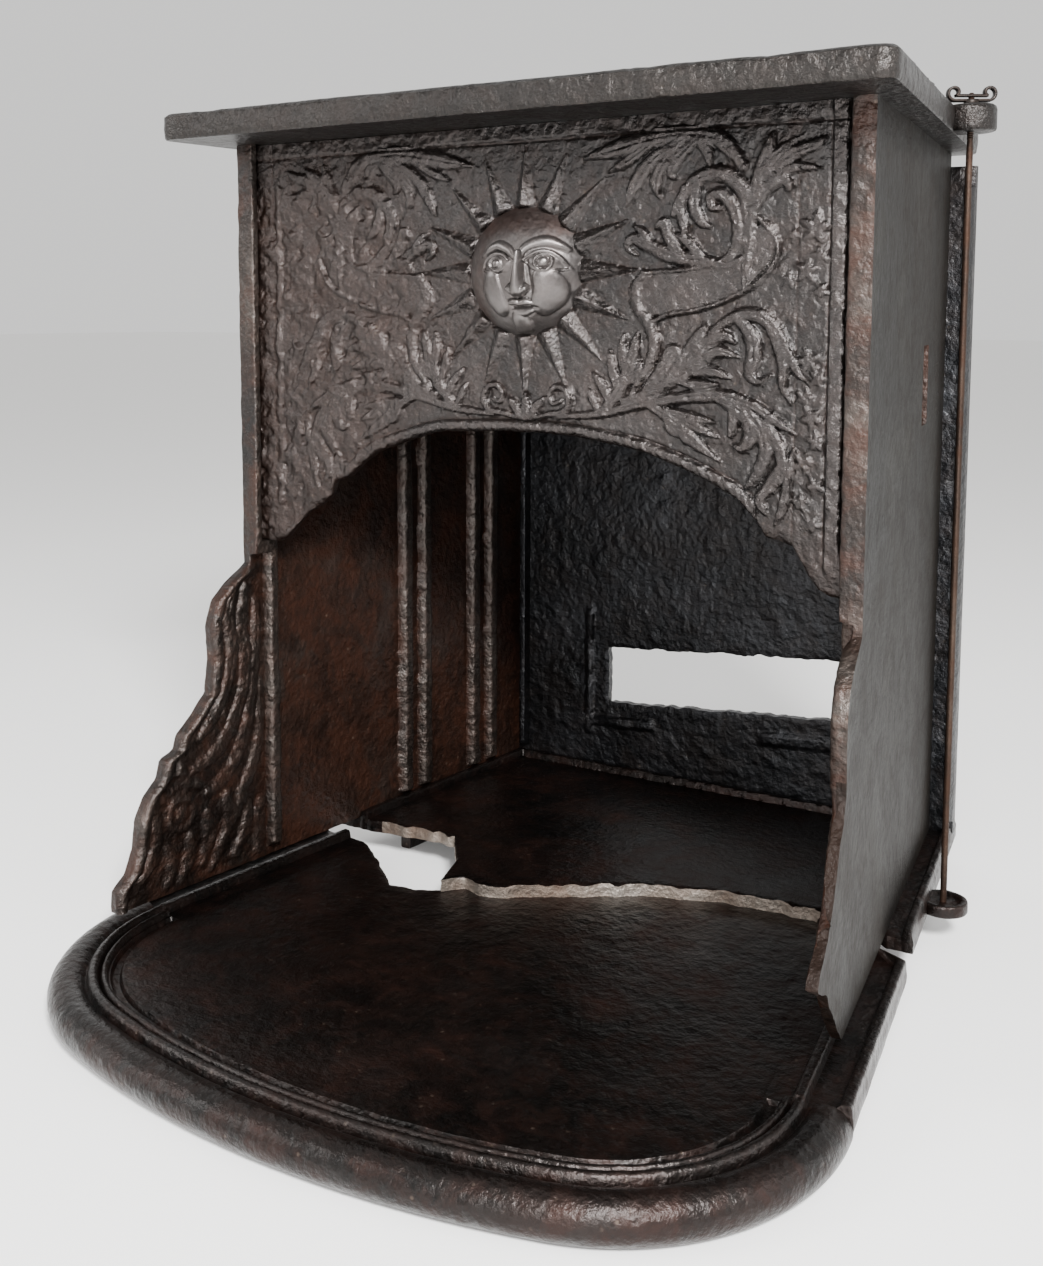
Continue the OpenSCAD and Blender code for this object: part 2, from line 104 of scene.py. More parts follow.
def rough(p, size, seed=0, octaves=3):
    """grain summed over a few sizes, each half as large and half as strong as the one before"""
    return sum(grain(p, size / 2 ** n, seed + 7 * n) / 2 ** n for n in range(octaves)) * 0.6


def smooth_step(a, b, x):
    """0 at a, 1 at b and a soft slope between them"""
    t = np.clip((x - a) / (b - a), 0, 1)
    return t * t * (3 - 2 * t)


def bar_profile(offset, half=4.6, power=6):
    """1 along the middle of a cast bar and 0 from half away from it, with full shoulders"""
    return np.clip(1 - np.abs(offset / half) ** power, 0, 1)


# %% [markdown]
# ## Drawn relief
# Leaves, rays, ribs and beads are all strokes: a curve with a width that swells and tapers, and a
# rounded ridge over it. Where strokes meet, the higher one wins, which leaves the sharp creases that
# a carver's gouge leaves between two lobes of a leaf.

# %% Strokes and the height they give
def curve(points, step=1.2):
    """a smooth curve through the points (x, z, half width), sampled about every step millimetres"""
    p = np.array(points, float)
    if len(p) == 2:
        p = np.array([p[0], (p[0] + p[1]) / 2, p[1]])
    ends = np.vstack([2 * p[0] - p[1], p, 2 * p[-1] - p[-2]])
    out = []
    for a, b, c, d in zip(ends[:-3], ends[1:-2], ends[2:-1], ends[3:]):
        n = max(2, int(np.linalg.norm((c - b)[:2]) / step))
        t = (np.arange(n) / n)[:, None]
        out.append(0.5 * (2 * b + (c - a) * t + (2 * a - 5 * b + 4 * c - d) * t ** 2
                          + (3 * b - a - 3 * c + d) * t ** 3))
    return np.vstack(out + [p[-1:]])


def add_stroke(height, x, z, points, rise, crease=0.0, flat=0.5):
    """raises height where the stroke lies; crease cuts a line along its middle"""
    s = curve(points)
    s[:, 2] = np.maximum(s[:, 2], 0.35)
    reach = s[:, 2].max() + 2
    near = ((x > s[:, 0].min() - reach) & (x < s[:, 0].max() + reach)
            & (z > s[:, 1].min() - reach) & (z < s[:, 1].max() + reach)).nonzero()[0]
    if not len(near):
        return
    px, pz = x[near], z[near]
    best = np.full(len(near), 9.0)
    width = np.full(len(near), 1.0)
    for sx, sz, r in s:
        d = np.hypot(px - sx, pz - sz) / r
        closer = d < best
        best = np.where(closer, d, best)
        width = np.where(closer, r, width)
    inside = np.clip(1 - best ** 2, 0, 1) ** flat
    ridge = rise * np.minimum(1, width / 4.0 + 0.25) * inside
    if crease:
        ridge -= crease * np.exp(-(best * width / 0.9) ** 2) * (best < 1) * np.minimum(1, width / 4)
    # a shallow trench runs beside the stroke where the ground is still flat
    trench = 0.7 * np.exp(-((best - 1) * width / 0.8) ** 2) * (best > 1)
    ground = height[near]
    height[near] = np.where(best < 1, np.maximum(ground, ridge), ground - trench * (ground < 0.4))


# %% [markdown]
# ## Grids that become plates
# A grid from bmesh has no idea of the plate it will be, so every point is sent to its place by a
# function. Then the rim is extruded backwards in a few rough steps and the back is filled, which
# gives a closed casting with a real edge.

# %% From a grid to a closed plate
def new_grid(nu, nv):
    """a flat grid, and the place of each of its points as two numbers from 0 to 1"""
    bm = bmesh.new()
    bmesh.ops.create_grid(bm, x_segments=nu, y_segments=nv, size=0.5)
    bm.verts.ensure_lookup_table()
    uv = np.array([v.co[:2] for v in bm.verts]) + 0.5
    return bm, uv


def send(verts, places):
    """moves each point to its place in stove millimetres"""
    for v, place in zip(verts, to_world(places)):
        v.co = place


def paint(bm, name, values):
    """stores one value a point under a name that the iron materials read"""
    layer = bm.verts.layers.float.get(name) or bm.verts.layers.float.new(name)
    for v, value in zip(bm.verts, values):
        v[layer] = float(value)


def drop_faces(bm, uv, keep_out):
    """deletes the faces whose middle keep_out says is outside the casting"""
    bm.faces.ensure_lookup_table()
    bm.verts.index_update()
    middles = np.array([np.mean([uv[v.index] for v in f.verts], axis=0) for f in bm.faces])
    gone = [f for f, g in zip(bm.faces, keep_out(middles)) if g]
    bmesh.ops.delete(bm, geom=gone, context="FACES_ONLY")


def close_back(bm, point, normal, steps=4, ragged=0.25, seed=5, keep=None):
    """extrudes the open rim on to a plane (a point and a normal, mm) a little rough, and fills the far
    side; keep says which edges are in the plane already. Returns the side faces and the far faces"""
    bmesh.ops.delete(bm, geom=[e for e in bm.edges if not e.link_faces], context="EDGES")
    bmesh.ops.delete(bm, geom=[v for v in bm.verts if not v.link_faces], context="VERTS")
    before = set(bm.faces)
    rim = [e for e in bm.edges if e.is_boundary and not (keep and keep(e))]
    normal = np.array(normal, float) / np.linalg.norm(normal)
    point = to_world([point])[0]
    bases = [bm.verts.layers.float.new(f"base_{axis}") for axis in "xyz"]
    for v in bm.verts:
        for layer, c in zip(bases, v.co):
            v[layer] = c
    for n in range(steps):
        made = bmesh.ops.extrude_edge_only(bm, edges=rim)["geom"]
        verts = [g for g in made if isinstance(g, bmesh.types.BMVert)]
        rim = [g for g in made if isinstance(g, bmesh.types.BMEdge)]
        here = np.array([[v[layer] for layer in bases] for v in verts])
        here = here + normal * ((point - here) @ normal)[:, None] * (n + 1) / steps
        if n < steps - 1:
            lumps = np.stack([rough(here / MM, 7, seed + n + a, 2) for a in (0, 20, 40)], 1)
            here = here + (lumps - normal * (lumps @ normal)[:, None]) * ragged * MM
        for v, place in zip(verts, here):
            v.co = place
    for axis in "xyz":
        bm.verts.layers.float.remove(bm.verts.layers.float[f"base_{axis}"])
    bmesh.ops.remove_doubles(bm, verts=[v for v in bm.verts if v.is_boundary], dist=0.01 * MM)
    sides = [f for f in bm.faces if f not in before]
    far = bmesh.ops.triangle_fill(bm, use_beauty=True, use_dissolve=False, normal=Vector(normal),
                                  edges=[e for e in bm.edges if e.is_boundary])["geom"]
    return sides, [f for f in far if isinstance(f, bmesh.types.BMFace)]


def finish_piece(bm, name, material, body="stove", replaces=(), sharp=50):
    """makes the finished object, hands it to the frame and prints its size and its open edges"""
    bmesh.ops.recalc_face_normals(bm, faces=bm.faces)
    mesh = bpy.data.meshes.new(name)
    bm.to_mesh(mesh)
    bm.free()
    mesh.materials.append(material)
    mesh.polygons.foreach_set("use_smooth", [True] * len(mesh.polygons))
    mesh.set_sharp_from_angle(angle=math.radians(sharp))
    piece = bpy.data.objects.new(name, mesh)
    bpy.context.scene.collection.objects.link(piece)
    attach(piece, body)
    if replaces:
        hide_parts(*replaces)
    check = bmesh.new()
    check.from_mesh(mesh)
    open_edges = sum(1 for e in check.edges if not e.is_manifold)
    check.free()
    mesh.calc_loop_triangles()
    print(name, "triangles", len(mesh.loop_triangles), "open edges", open_edges)
    return piece


# %% [markdown]
# ## Camera, light and floor
# A long lens from the right looks slightly down on the hearth. The floor and the world are pale, and
# three large soft lamps pick out the relief: old waxed iron is so dark that its shape is read from
# its highlights.

# %% Camera
def look(yaw, pitch):
    """the direction of a level gaze along y, turned left by yaw and lowered by pitch"""
    return Vector((-math.sin(yaw) * math.cos(pitch), math.cos(yaw) * math.cos(pitch), -math.sin(pitch)))


cam_data = bpy.data.cameras.new("camera")
cam_data.sensor_width = 36.0
cam_data.lens = 40.36
cam_data.shift_x = 0.0385
cam_data.shift_y = -0.1375
cam_data.clip_start = 0.05
camera = bpy.data.objects.new("camera", cam_data)
camera.location = to_world([[610.9, -1046.6, 542.7]])[0]
camera.rotation_euler = look(0.557, 0.103).to_track_quat("-Z", "Y").to_euler()
bpy.context.scene.collection.objects.link(camera)
bpy.context.scene.camera = camera
print("camera at", [round(c, 3) for c in camera.location])


# %% Lamps, world and floor
def soft_lamp(name, place, target, size, power, colour=(1, 1, 1)):
    data = bpy.data.lights.new(name, "AREA")
    data.shape = "DISK"
    data.size = size
    data.energy = power
    data.color = colour
    lamp = bpy.data.objects.new(name, data)
    lamp.location = place
    lamp.rotation_euler = (Vector(target) - Vector(place)).to_track_quat("-Z", "Y").to_euler()
    bpy.context.scene.collection.objects.link(lamp)


soft_lamp("key", (1.5, -1.7, 1.9), (0, -0.05, 0.5), 0.6, 230)
soft_lamp("fill", (-1.9, -1.9, 1.5), (0, -0.1, 0.4), 1.3, 45)
soft_lamp("side", (2.6, 0.5, 1.1), (0.25, 0.1, 0.4), 1.2, 22)
soft_lamp("low_front", (0.9, -2.6, 0.9), (0, 0.2, 0.3), 0.8, 50)

world = bpy.data.worlds.new("pale_room")
bpy.context.scene.world = world
world.use_nodes = True
world.node_tree.nodes["Background"].inputs[0].default_value = (1.0, 0.995, 0.985, 1)
world.node_tree.nodes["Background"].inputs[1].default_value = 1.0


# %% [markdown]
# ## Materials
# One helper adds a node with its settings and links. Every finish here is iron: what changes is how
# much wax, rust and dust lies on it, and that is steered by two values painted on each piece. One
# makes the high places lighter, partly for rubbed iron and partly as a painted highlight where light
# catches the relief; "rust" marks the corroded ones.

# %% Node helper and colours
def srgb(hex_code):
    """an sRGB hex colour as the linear values that nodes want"""
    parts = [int(hex_code[i:i + 2], 16) / 255 for i in (1, 3, 5)]
    return tuple(c / 12.92 if c <= 0.04045 else ((c + 0.055) / 1.055) ** 2.4 for c in parts) + (1.0,)


def add(tree, kind, inputs, stops=(), **settings):
    """adds a node: settings are its properties, inputs are sockets to plug in or values to set, and
    stops are the places and colours along its colour ramp"""
    node = tree.nodes.new(kind)
    for key, value in settings.items():
        setattr(node, key, value)
    for key, value in inputs.items():
        if isinstance(value, bpy.types.NodeSocket):
            tree.links.new(value, node.inputs[key])
        else:
            node.inputs[key].default_value = value
    for n, (at, colour) in enumerate(stops):
        element = node.color_ramp.elements[n] if n < 2 else node.color_ramp.elements.new(at)
        element.position, element.color = at, colour
    return node


# %% Cast iron
# Moulding sand has grains of about 0.5 mm. The pebbles that it leaves are drawn ten times as coarse, at
# about 5 mm, so that they show from across a room.
MM_PER_M = 1000
CLOUD_MM, BLOTCH_MM = 90, 28


def cast_iron(name, dark, body, light, rust, grain_mm=3.2, bump_mm=0.5, gloss=0.42, rust_amount=0.5,
              coat=0.0):
    """sand-cast iron: pebbly at grain_mm, browner in its pits, lighter and smoother where it is rubbed,
    and lighter there also as a painted highlight
    """
    mat = bpy.data.materials.new(name)
    mat.use_nodes = True
    t = mat.node_tree
    place = add(t, "ShaderNodeTexCoord", {}).outputs["Object"]
    wear_and_highlight = add(t, "ShaderNodeAttribute", {}, attribute_name="wear_and_highlight").outputs["Fac"]
    eaten = add(t, "ShaderNodeAttribute", {}, attribute_name="rust").outputs["Fac"]
    pebble = add(t, "ShaderNodeTexNoise", {"Vector": place, "Scale": MM_PER_M / grain_mm, "Detail": 5.0,
                                           "Roughness": 0.55})
    pits = add(t, "ShaderNodeTexVoronoi", {"Vector": place, "Scale": MM_PER_M / (grain_mm * 2.2)})
    cloud = add(t, "ShaderNodeTexNoise", {"Vector": place, "Scale": MM_PER_M / CLOUD_MM, "Detail": 6.0,
                                          "Roughness": 0.6})
    blotch = add(t, "ShaderNodeTexNoise", {"Vector": place, "Scale": MM_PER_M / BLOTCH_MM, "Detail": 7.0,
                                           "Roughness": 0.68, "Distortion": 0.6})
    # the colour: broad clouds of three tones, speckled, browned where rust sits, lighter on the high places,
    # partly rubbed and partly painted highlight
    tone = add(t, "ShaderNodeValToRGB", {"Fac": cloud.outputs["Fac"]},
               stops=[(0.32, srgb(dark)), (0.52, srgb(body)), (0.72, srgb(light))])
    speckle = add(t, "ShaderNodeValToRGB", {"Fac": pebble.outputs["Fac"]},
                  stops=[(0.36, (0.62, 0.62, 0.62, 1)), (0.6, (1.15, 1.15, 1.15, 1))])
    speckled = add(t, "ShaderNodeMix", {0: 0.75, 6: tone.outputs[0], 7: speckle.outputs[0]},
                   data_type="RGBA", blend_type="MULTIPLY")
    patchy = add(t, "ShaderNodeMapRange", {0: blotch.outputs["Fac"], 1: 0.44, 2: 0.64, 3: 0.0,
                                           4: rust_amount})
    browned = add(t, "ShaderNodeMath", {0: patchy.outputs[0], 1: eaten}, operation="ADD", use_clamp=True)
    rusted = add(t, "ShaderNodeMix", {0: browned.outputs[0], 6: speckled.outputs[2], 7: srgb(rust)},
                 data_type="RGBA")
    dots = add(t, "ShaderNodeMapRange", {0: pits.outputs["Distance"], 1: 0.15, 2: 0.09, 3: 0.0, 4: 0.45})
    dusty = add(t, "ShaderNodeMath", {0: patchy.outputs[0], 1: dots.outputs[0]}, operation="MULTIPLY")
    dusted = add(t, "ShaderNodeMix", {0: dusty.outputs[0], 6: rusted.outputs[2], 7: srgb("#7d6f62")},
                 data_type="RGBA")
    # painted highlight in part: high places are mixed towards the light tone, for rubbed iron and for the light
    # they catch
    lighten = add(t, "ShaderNodeMath", {0: wear_and_highlight, 1: 0.4}, operation="MULTIPLY")
    lightened = add(t, "ShaderNodeMix", {0: lighten.outputs[0], 6: dusted.outputs[2], 7: srgb(light)},
                 data_type="RGBA")
    # the sheen: wax shines on the high places, rust is dull, and every pebble differs a little
    dull = add(t, "ShaderNodeMapRange", {0: browned.outputs[0], 1: 0.0, 2: 1.0, 3: gloss,
                                         4: min(0.85, gloss + 0.28)})
    sparkle = add(t, "ShaderNodeMath", {0: pebble.outputs["Fac"], 1: 0.22, 2: dull.outputs[0]},
                  operation="MULTIPLY_ADD")
    sheen = add(t, "ShaderNodeMath", {0: wear_and_highlight, 1: -0.1, 2: sparkle.outputs[0]}, operation="MULTIPLY_ADD",
                use_clamp=True)
    grains = add(t, "ShaderNodeBump", {"Height": pebble.outputs["Fac"], "Strength": 0.85,
                                       "Distance": bump_mm * MM})
    dents = add(t, "ShaderNodeBump", {"Height": pits.outputs["Distance"], "Normal": grains.outputs["Normal"],
                                      "Strength": 0.5, "Distance": bump_mm * 0.8 * MM})
    shader = t.nodes["Principled BSDF"]
    shader.inputs["Metallic"].default_value = 0.85
    shader.inputs["Coat Weight"].default_value = coat
    shader.inputs["Coat Roughness"].default_value = 0.24
    t.links.new(lightened.outputs[2], shader.inputs["Base Color"])
    t.links.new(sheen.outputs[0], shader.inputs["Roughness"])
    t.links.new(dents.outputs["Normal"], shader.inputs["Normal"])
    t.links.new(dents.outputs["Normal"], shader.inputs["Coat Normal"])
    return mat


# waxed and handled: near black, with a small hard glint on every cut of the ornament
FRONT_IRON = cast_iron("waxed_cast_iron_front", "#100c0b", "#1c1715", "#352f2d", "#25160f",
                       4.8, 2.4, 0.2, 0.4, 0.45)
# fired and damp: brown rust in patches between dark pebbles, duller than the front
SIDE_IRON = cast_iron("rusted_cast_iron_inside", "#130f0d", "#231a15", "#48413c", "#351d12",
                      5.2, 2.4, 0.32, 0.7, 0.35)
# never waxed: a flat grey-brown skin that only the broad light shapes; its tone is also darkened as painted
# shade for the dim right side
SHADE_DARKENED_OUTER_IRON = cast_iron("dull_outer_iron_painted_shade", "#11100e", "#1a1917", "#272622", "#1c1713",
                       5.0, 2.2, 0.45, 0.4, 0.1)
# painted light: the hearth's break is pale and matt, so that the crack between its two pieces reads as a bright
# line
PAINTED_BRIGHT_BREAK = cast_iron("break_painted_bright", "#4a423b", "#756c63", "#a39b92", "#5a4030",
                       3.0, 1.6, 0.45, 0.4)
# a break that has rusted over: as dark as the plate beside it, and rough
EDGE_IRON = cast_iron("rusted_broken_edge", "#0f0b09", "#1b1410", "#2e2620", "#23160f",
                      4.0, 2.2, 0.42, 0.5, 0.1)
# smoked and cooler in tone: it sets the inside apart from the brown plates
BACK_IRON = cast_iron("blue_grey_cast_iron", "#101113", "#1b1c1f", "#303134", "#231a15",
                      6.0, 2.2, 0.3, 0.35, 0.3)
# coarsely pebbled: broken soft highlights over the whole slab
TOP_IRON = cast_iron("pebbly_cast_iron", "#0f0c0b", "#181513", "#2b2724", "#231712",
                     5.0, 2.8, 0.28, 0.4, 0.3)
# blackest and most waxed: the fender carries one long highlight, the plate is clouded with rust
HEARTH_IRON = cast_iron("black_waxed_hearth_iron", "#0b0908", "#13100e", "#25201e", "#28140d",
                        5.0, 1.5, 0.24, 0.55, 0.22)
# forged, not cast: browner, with a finer and flatter skin
ROD_IRON = cast_iron("forged_rod_iron", "#1d1613", "#2c211b", "#443830", "#352015",
                     2.2, 0.3, 0.4, 0.6)
# forged and turned by hand for years: a little brighter than the rods
NUT_IRON = cast_iron("forged_nut_iron", "#151312", "#211e1d", "#383431", "#261b15",
                     2.2, 0.25, 0.3, 0.4)


# %% Floor
floor_mesh = bpy.data.meshes.new("floor")
bm = bmesh.new()
bmesh.ops.create_grid(bm, x_segments=2, y_segments=2, size=30)
bm.to_mesh(floor_mesh)
bm.free()
floor = bpy.data.objects.new("floor", floor_mesh)
bpy.context.scene.collection.objects.link(floor)
floor_mat = bpy.data.materials.new("pale_floor")
floor_mat.use_nodes = True
floor_mat.node_tree.nodes["Principled BSDF"].inputs["Base Color"].default_value = (0.93, 0.925, 0.915, 1)
floor_mat.node_tree.nodes["Principled BSDF"].inputs["Roughness"].default_value = 0.9
floor_mesh.materials.append(floor_mat)

# %% [markdown]
# ## The front plate
# The front plate was the stove's picture: a sun between leaf scrolls, a ribbon on each side, and a
# roped bead along the arch. The right half has kept its cutting. The left half stood in the damp and
# has lost most of it to pits. The strokes are drawn once for the right and mirrored for the left, and
# the ribbons are left bare.

# %% The arch and the places of the ornament
SUN_X, SUN_Z, SUN_R, SUN_RISE, RAY_END = 6.0, 577.0, 54.0, 28.0, 105.0
RAYS = 16
# the leaves are mirrored about this x, and the vine leaves about half of VINE_MIRROR
MIRROR_X, VINE_MIRROR = 8.0, 10
FRONT_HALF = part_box("front_plate")[1].x / MM
ARCH = np.array([(-300, 322), (-268, 322), (-257, 327), (-245, 341), (-232, 354), (-215, 362), (-204, 371),
                 (-199, 385), (-181, 391), (-170, 402), (-150, 415), (-120, 426), (-100, 432), (-80, 437),
                 (-20, 440), (30, 440), (60, 438), (100, 432), (120, 428), (150, 418), (175, 408), (200, 395),
                 (215, 380), (223, 368), (245, 362), (251, 352), (258, 340), (266, 330), (276, 325),
                 (300, 323)], float)

# each leaf is a stroke of (x, z, half width), drawn once for the right half
LEAVES = [
    # the long top leaf and the lobes that hang from it
    [(200, 655, 5), (184, 675, 6), (150, 682, 7), (118, 679, 8), (88, 673, 7), (62, 668, 1)],
    [(146, 677, 4), (122, 662, 6.5), (108, 644, 6), (101, 627, 1)],
    [(152, 676, 4), (134, 660, 6), (127, 645, 5), (131, 632, 1)],
    [(162, 678, 4), (146, 664, 6.5), (140, 652, 4), (146, 648, 1)],
    [(164, 678, 5), (171, 668, 6), (173, 655, 1)],
    [(178, 676, 5), (188, 668, 5), (192, 658, 1)],
    [(124, 677, 4), (102, 664, 5), (84, 656, 1)],
    # the great scroll
    [(204, 560, 3), (205, 590, 5), (206, 615, 7), (200, 638, 7), (182, 650, 7), (162, 646, 6), (149, 632, 5),
     (143, 620, 3)],
    [(190, 584, 3), (197, 600, 5), (195, 620, 6), (184, 634, 5.5), (174, 632, 4.5), (176, 624, 3.5),
     (184, 624, 2)],
    [(164, 643, 4), (160, 628, 5.5), (166, 614, 4.5), (174, 609, 1.5)],
    [(152, 640, 4), (149, 622, 5), (153, 608, 4), (150, 600, 2)],
    [(204, 586, 3), (188, 579, 4.5), (164, 584, 6), (142, 587, 6.5), (122, 596, 6), (107, 602, 4.5),
     (103, 595, 3), (110, 589, 1.5)],
    [(150, 588, 4), (139, 602, 5.5), (134, 614, 4.5), (128, 610, 2)],
    [(168, 586, 4), (158, 596, 5), (146, 604, 2)],
    [(124, 596, 4), (116, 607, 3.5), (108, 612, 1.2)],
    # the leaves at the top outer corner
    [(206, 606, 4), (211, 628, 6), (214, 650, 6), (221, 668, 5), (225, 680, 1)],
    [(214, 648, 4), (229, 663, 5.5), (246, 675, 1)],
    [(214, 640, 4), (238, 661, 6), (256, 667, 5), (266, 673, 1.5)],
    [(213, 634, 4), (238, 651, 5), (263, 650, 1)],
    [(210, 620, 4), (219, 636, 6), (232, 644, 6), (238, 637, 3.5)],
    # the sprays below the ribbon
    [(80, 460, 3), (96, 478, 6), (106, 498, 6), (110, 514, 5), (113, 526, 1.5)],
    [(88, 468, 3), (81, 482, 5), (72, 493, 1.5)],
    [(95, 480, 3), (90, 497, 5), (87, 511, 1.5)],
    [(102, 492, 3), (99, 510, 5), (101, 524, 2)],
    [(102, 484, 3), (112, 492, 4.5), (117, 505, 1.2)],
    [(78, 461, 2.5), (72, 472, 4), (68, 481, 1.5)],
    [(100, 470, 3), (128, 480, 6), (156, 497, 7), (180, 511, 6), (200, 508, 1.2)],
    [(120, 479, 4), (134, 496, 6.5), (144, 512, 6), (151, 507, 2)],
    [(138, 487, 4), (156, 508, 7), (165, 522, 6), (173, 534, 1.2)],
    [(154, 498, 4), (172, 518, 6.5), (188, 524, 5), (197, 518, 1.2)],
    [(162, 495, 4), (178, 496, 5), (193, 491, 1.2)],
    [(150, 487, 3), (167, 485, 5), (184, 486, 1.2)],
    [(176, 527, 2.5), (192, 537, 5), (210, 541, 6), (226, 533, 6), (237, 516, 5), (246, 499, 4),
     (256, 489, 1.2)],
    [(200, 535, 4), (210, 524, 7), (212, 508, 7), (209, 496, 6), (216, 489, 3.5), (226, 494, 1.5)],
    [(224, 532, 4), (231, 518, 5), (236, 500, 5), (236, 486, 4), (243, 473, 1.2)],
    [(40, 455, 2.5), (80, 459, 4), (115, 468, 5), (150, 474, 5.5), (184, 477, 6), (212, 470, 5),
     (232, 458, 4), (247, 449, 1.2)],
    [(184, 474, 4), (204, 464, 7), (211, 448, 7), (205, 437, 4.5), (197, 438, 2)],
    [(206, 468, 4), (219, 451, 6.5), (223, 432, 6.5), (215, 414, 5), (206, 403, 1.5)],
    [(222, 458, 3), (233, 441, 6), (237, 422, 5), (231, 404, 2)],
    [(194, 470, 3), (196, 456, 5), (194, 446, 3)],
    [(124, 467, 3), (145, 456, 6), (162, 441, 6), (185, 425, 1.2)],
    [(138, 461, 3), (143, 449, 4.5), (151, 442, 1.2)],
    [(150, 454, 3), (155, 443, 4.5), (163, 436, 1.2)],
    [(140, 464, 3), (160, 459, 5), (181, 456, 1.2)],
    [(150, 458, 3), (167, 451, 5), (183, 444, 1.2)],
    [(238, 430, 3), (228, 410, 5.5), (219, 396, 5), (224, 386, 2)],
    [(246, 436, 2.5), (242, 414, 4.5), (238, 392, 4), (232, 378, 1.5)],
    # the scroll over the middle of the arch
    [(14, 452, 2.2), (28, 456, 2.8), (44, 459, 3.2), (50, 468, 3.2), (46, 478, 3), (37, 480, 2.8),
     (31, 473, 2.4), (34, 466, 2.2), (41, 468, 2)],
    [(8, 452, 4), (8, 462, 5), (8, 473, 2)],
    [(12, 453, 3), (19, 463, 4.5), (25, 470, 1.5)],
]
RIBBON = [(120, 556, 17), (148, 560, 17), (174, 564, 16), (198, 576, 15), (213, 591, 13), (221, 604, 8)]
RIBBON_EDGES = [[(116, 574, 1.6), (160, 577, 1.6), (185, 583, 1.6), (203, 600, 1.6), (212, 617, 1.6)],
                [(212, 617, 1.6), (225, 603, 1.6), (230, 588, 1.6), (216, 567, 1.6), (190, 553, 1.6),
                 (165, 545, 1.6), (140, 541, 1.6), (128, 536, 1.6)],
                [(118, 574, 3), (111, 562, 4.5), (113, 547, 5), (123, 533, 5), (127, 515, 4.5), (122, 498, 4),
                 (113, 484, 2.5), (106, 474, 1)]]
# leaf clusters of the vine inside each upright border: place, size and turn
VINE = [(258, 606, 13, 10), (240, 601, 6, 60), (262, 586, 8, 40), (252, 574, 10, 80), (238, 567, 7, 10),
        (263, 559, 8, 120), (254, 505, 11, 30), (263, 492, 8, 70), (252, 478, 8, 0), (258, 462, 10, 50),
        (262, 444, 9, 20), (252, 428, 9, 70), (262, 410, 9, 45), (251, 396, 9, 15), (260, 380, 8, 65)]


# %% The height of the front plate's relief
def arch_line(x):
    """height of the plate's lower edge"""
    return np.interp(x, ARCH[:, 0], ARCH[:, 1])


def vine_leaf(h, x, z, mid_x, mid_z, size, turn):
    """five lobes spread round a middle"""
    for n in range(5):
        a = math.radians(turn + 72 * n)
        tip = (mid_x + size * math.cos(a), mid_z + size * math.sin(a))
        belly = ((mid_x + tip[0]) / 2 + 1, (mid_z + tip[1]) / 2, size * 0.3)
        add_stroke(h, x, z, [(mid_x, mid_z, size * 0.28), belly, (*tip, 1.2)], 2.6)


def front_relief(x, z):
    h = np.zeros(len(x))
    for side in (1, -1):
        flip = (lambda s: s) if side > 0 else (lambda s: [(2 * MIRROR_X - a, b, w) for a, b, w in s])
        add_stroke(h, x, z, flip(RIBBON), 2.8, flat=0.1)
        for s in RIBBON_EDGES:
            add_stroke(h, x, z, [(a, b, w + 0.9) for a, b, w in flip(s)], 5.2)
        for s in LEAVES:
            add_stroke(h, x, z, flip(s), 4.8, crease=1.3)
        for vx, vz, size, turn in VINE:
            vine_leaf(h, x, z, vx if side > 0 else VINE_MIRROR - vx, vz, size, turn)
    # straight rays with a sharp ridge
    dx, dz = x - SUN_X, z - SUN_Z
    r, a = np.hypot(dx, dz), np.arctan2(dz, dx)
    turn = (a / (2 * math.pi) * RAYS + 0.5) % 1 - 0.5
    across = np.abs(turn) * 2 * math.pi / RAYS * r
    width = np.clip((RAY_END + 3 - r) / (RAY_END - SUN_R + 6), 0, 1) * 11.0
    on_ray = (width > 0.2) & (r > SUN_R - 2)
    facet = (1 - across / np.maximum(width, 0.3)) * (width * 0.6 + 1.2)
    ray = smooth_step(SUN_R - 2, SUN_R + 2, r) * np.where(on_ray, facet, 0)
    h = np.maximum(h, ray)
    beside = (r > SUN_R - 2) & (r < RAY_END) & (ray <= 0)
    h = h - beside * 0.7 * np.exp(-((across - width) / 1.2) ** 2)
    h = h - 1.2 * np.exp(-((r - SUN_R - 1.0) / 1.6) ** 2) * (ray < 1.0)
    # roped bead along the arch
    up = z - arch_line(x)
    slope = np.gradient(ARCH[:, 1], ARCH[:, 0])
    up = up / np.sqrt(1 + np.interp(x, ARCH[:, 0], slope) ** 2)
    on_arch = smooth_step(-208, -196, x) * smooth_step(222, 208, x)
    rope = 1 + 0.1 * np.sin((x + up * 0.8) * 2 * math.pi / 7.5)
    bead = 3.6 * np.sqrt(np.clip(1 - ((up - 5.0) / 5.0) ** 2, 0, 1)) * rope
    h = np.where((up < 10.5) & (on_arch > 0.5), np.maximum(bead, 0), h)
    h = h - on_arch * 0.8 * np.exp(-((up - 11.2) / 0.9) ** 2)
    # raised band at the top, upright borders
    h = h + 1.7 * smooth_step(686.5, 688, z) - 1.2 * np.exp(-((z - 685.6) / 1.1) ** 2)
    right = smooth_step(270.5, 272.5, x) * smooth_step(284, 281, x) * smooth_step(338, 352, z)
    left = np.exp(-(np.abs(x + 262.5) / 3.0) ** 4) * smooth_step(355, 362, z) * smooth_step(668, 655, z)
    h = h + right * (3.0 + 0.5 * grain(np.stack([x, z, z * 0], 1), 6, 3)) + left * 3.2
    for at in (269.5, 284.5, -269.5):
        h = h - 1.0 * np.exp(-((x - at) / 1.0) ** 2) * smooth_step(340, 360, z)
    return h - 0.7 * np.exp(-((x - 245) / 0.8) ** 2) * smooth_step(355, 365, z) * smooth_step(690, 684, z)


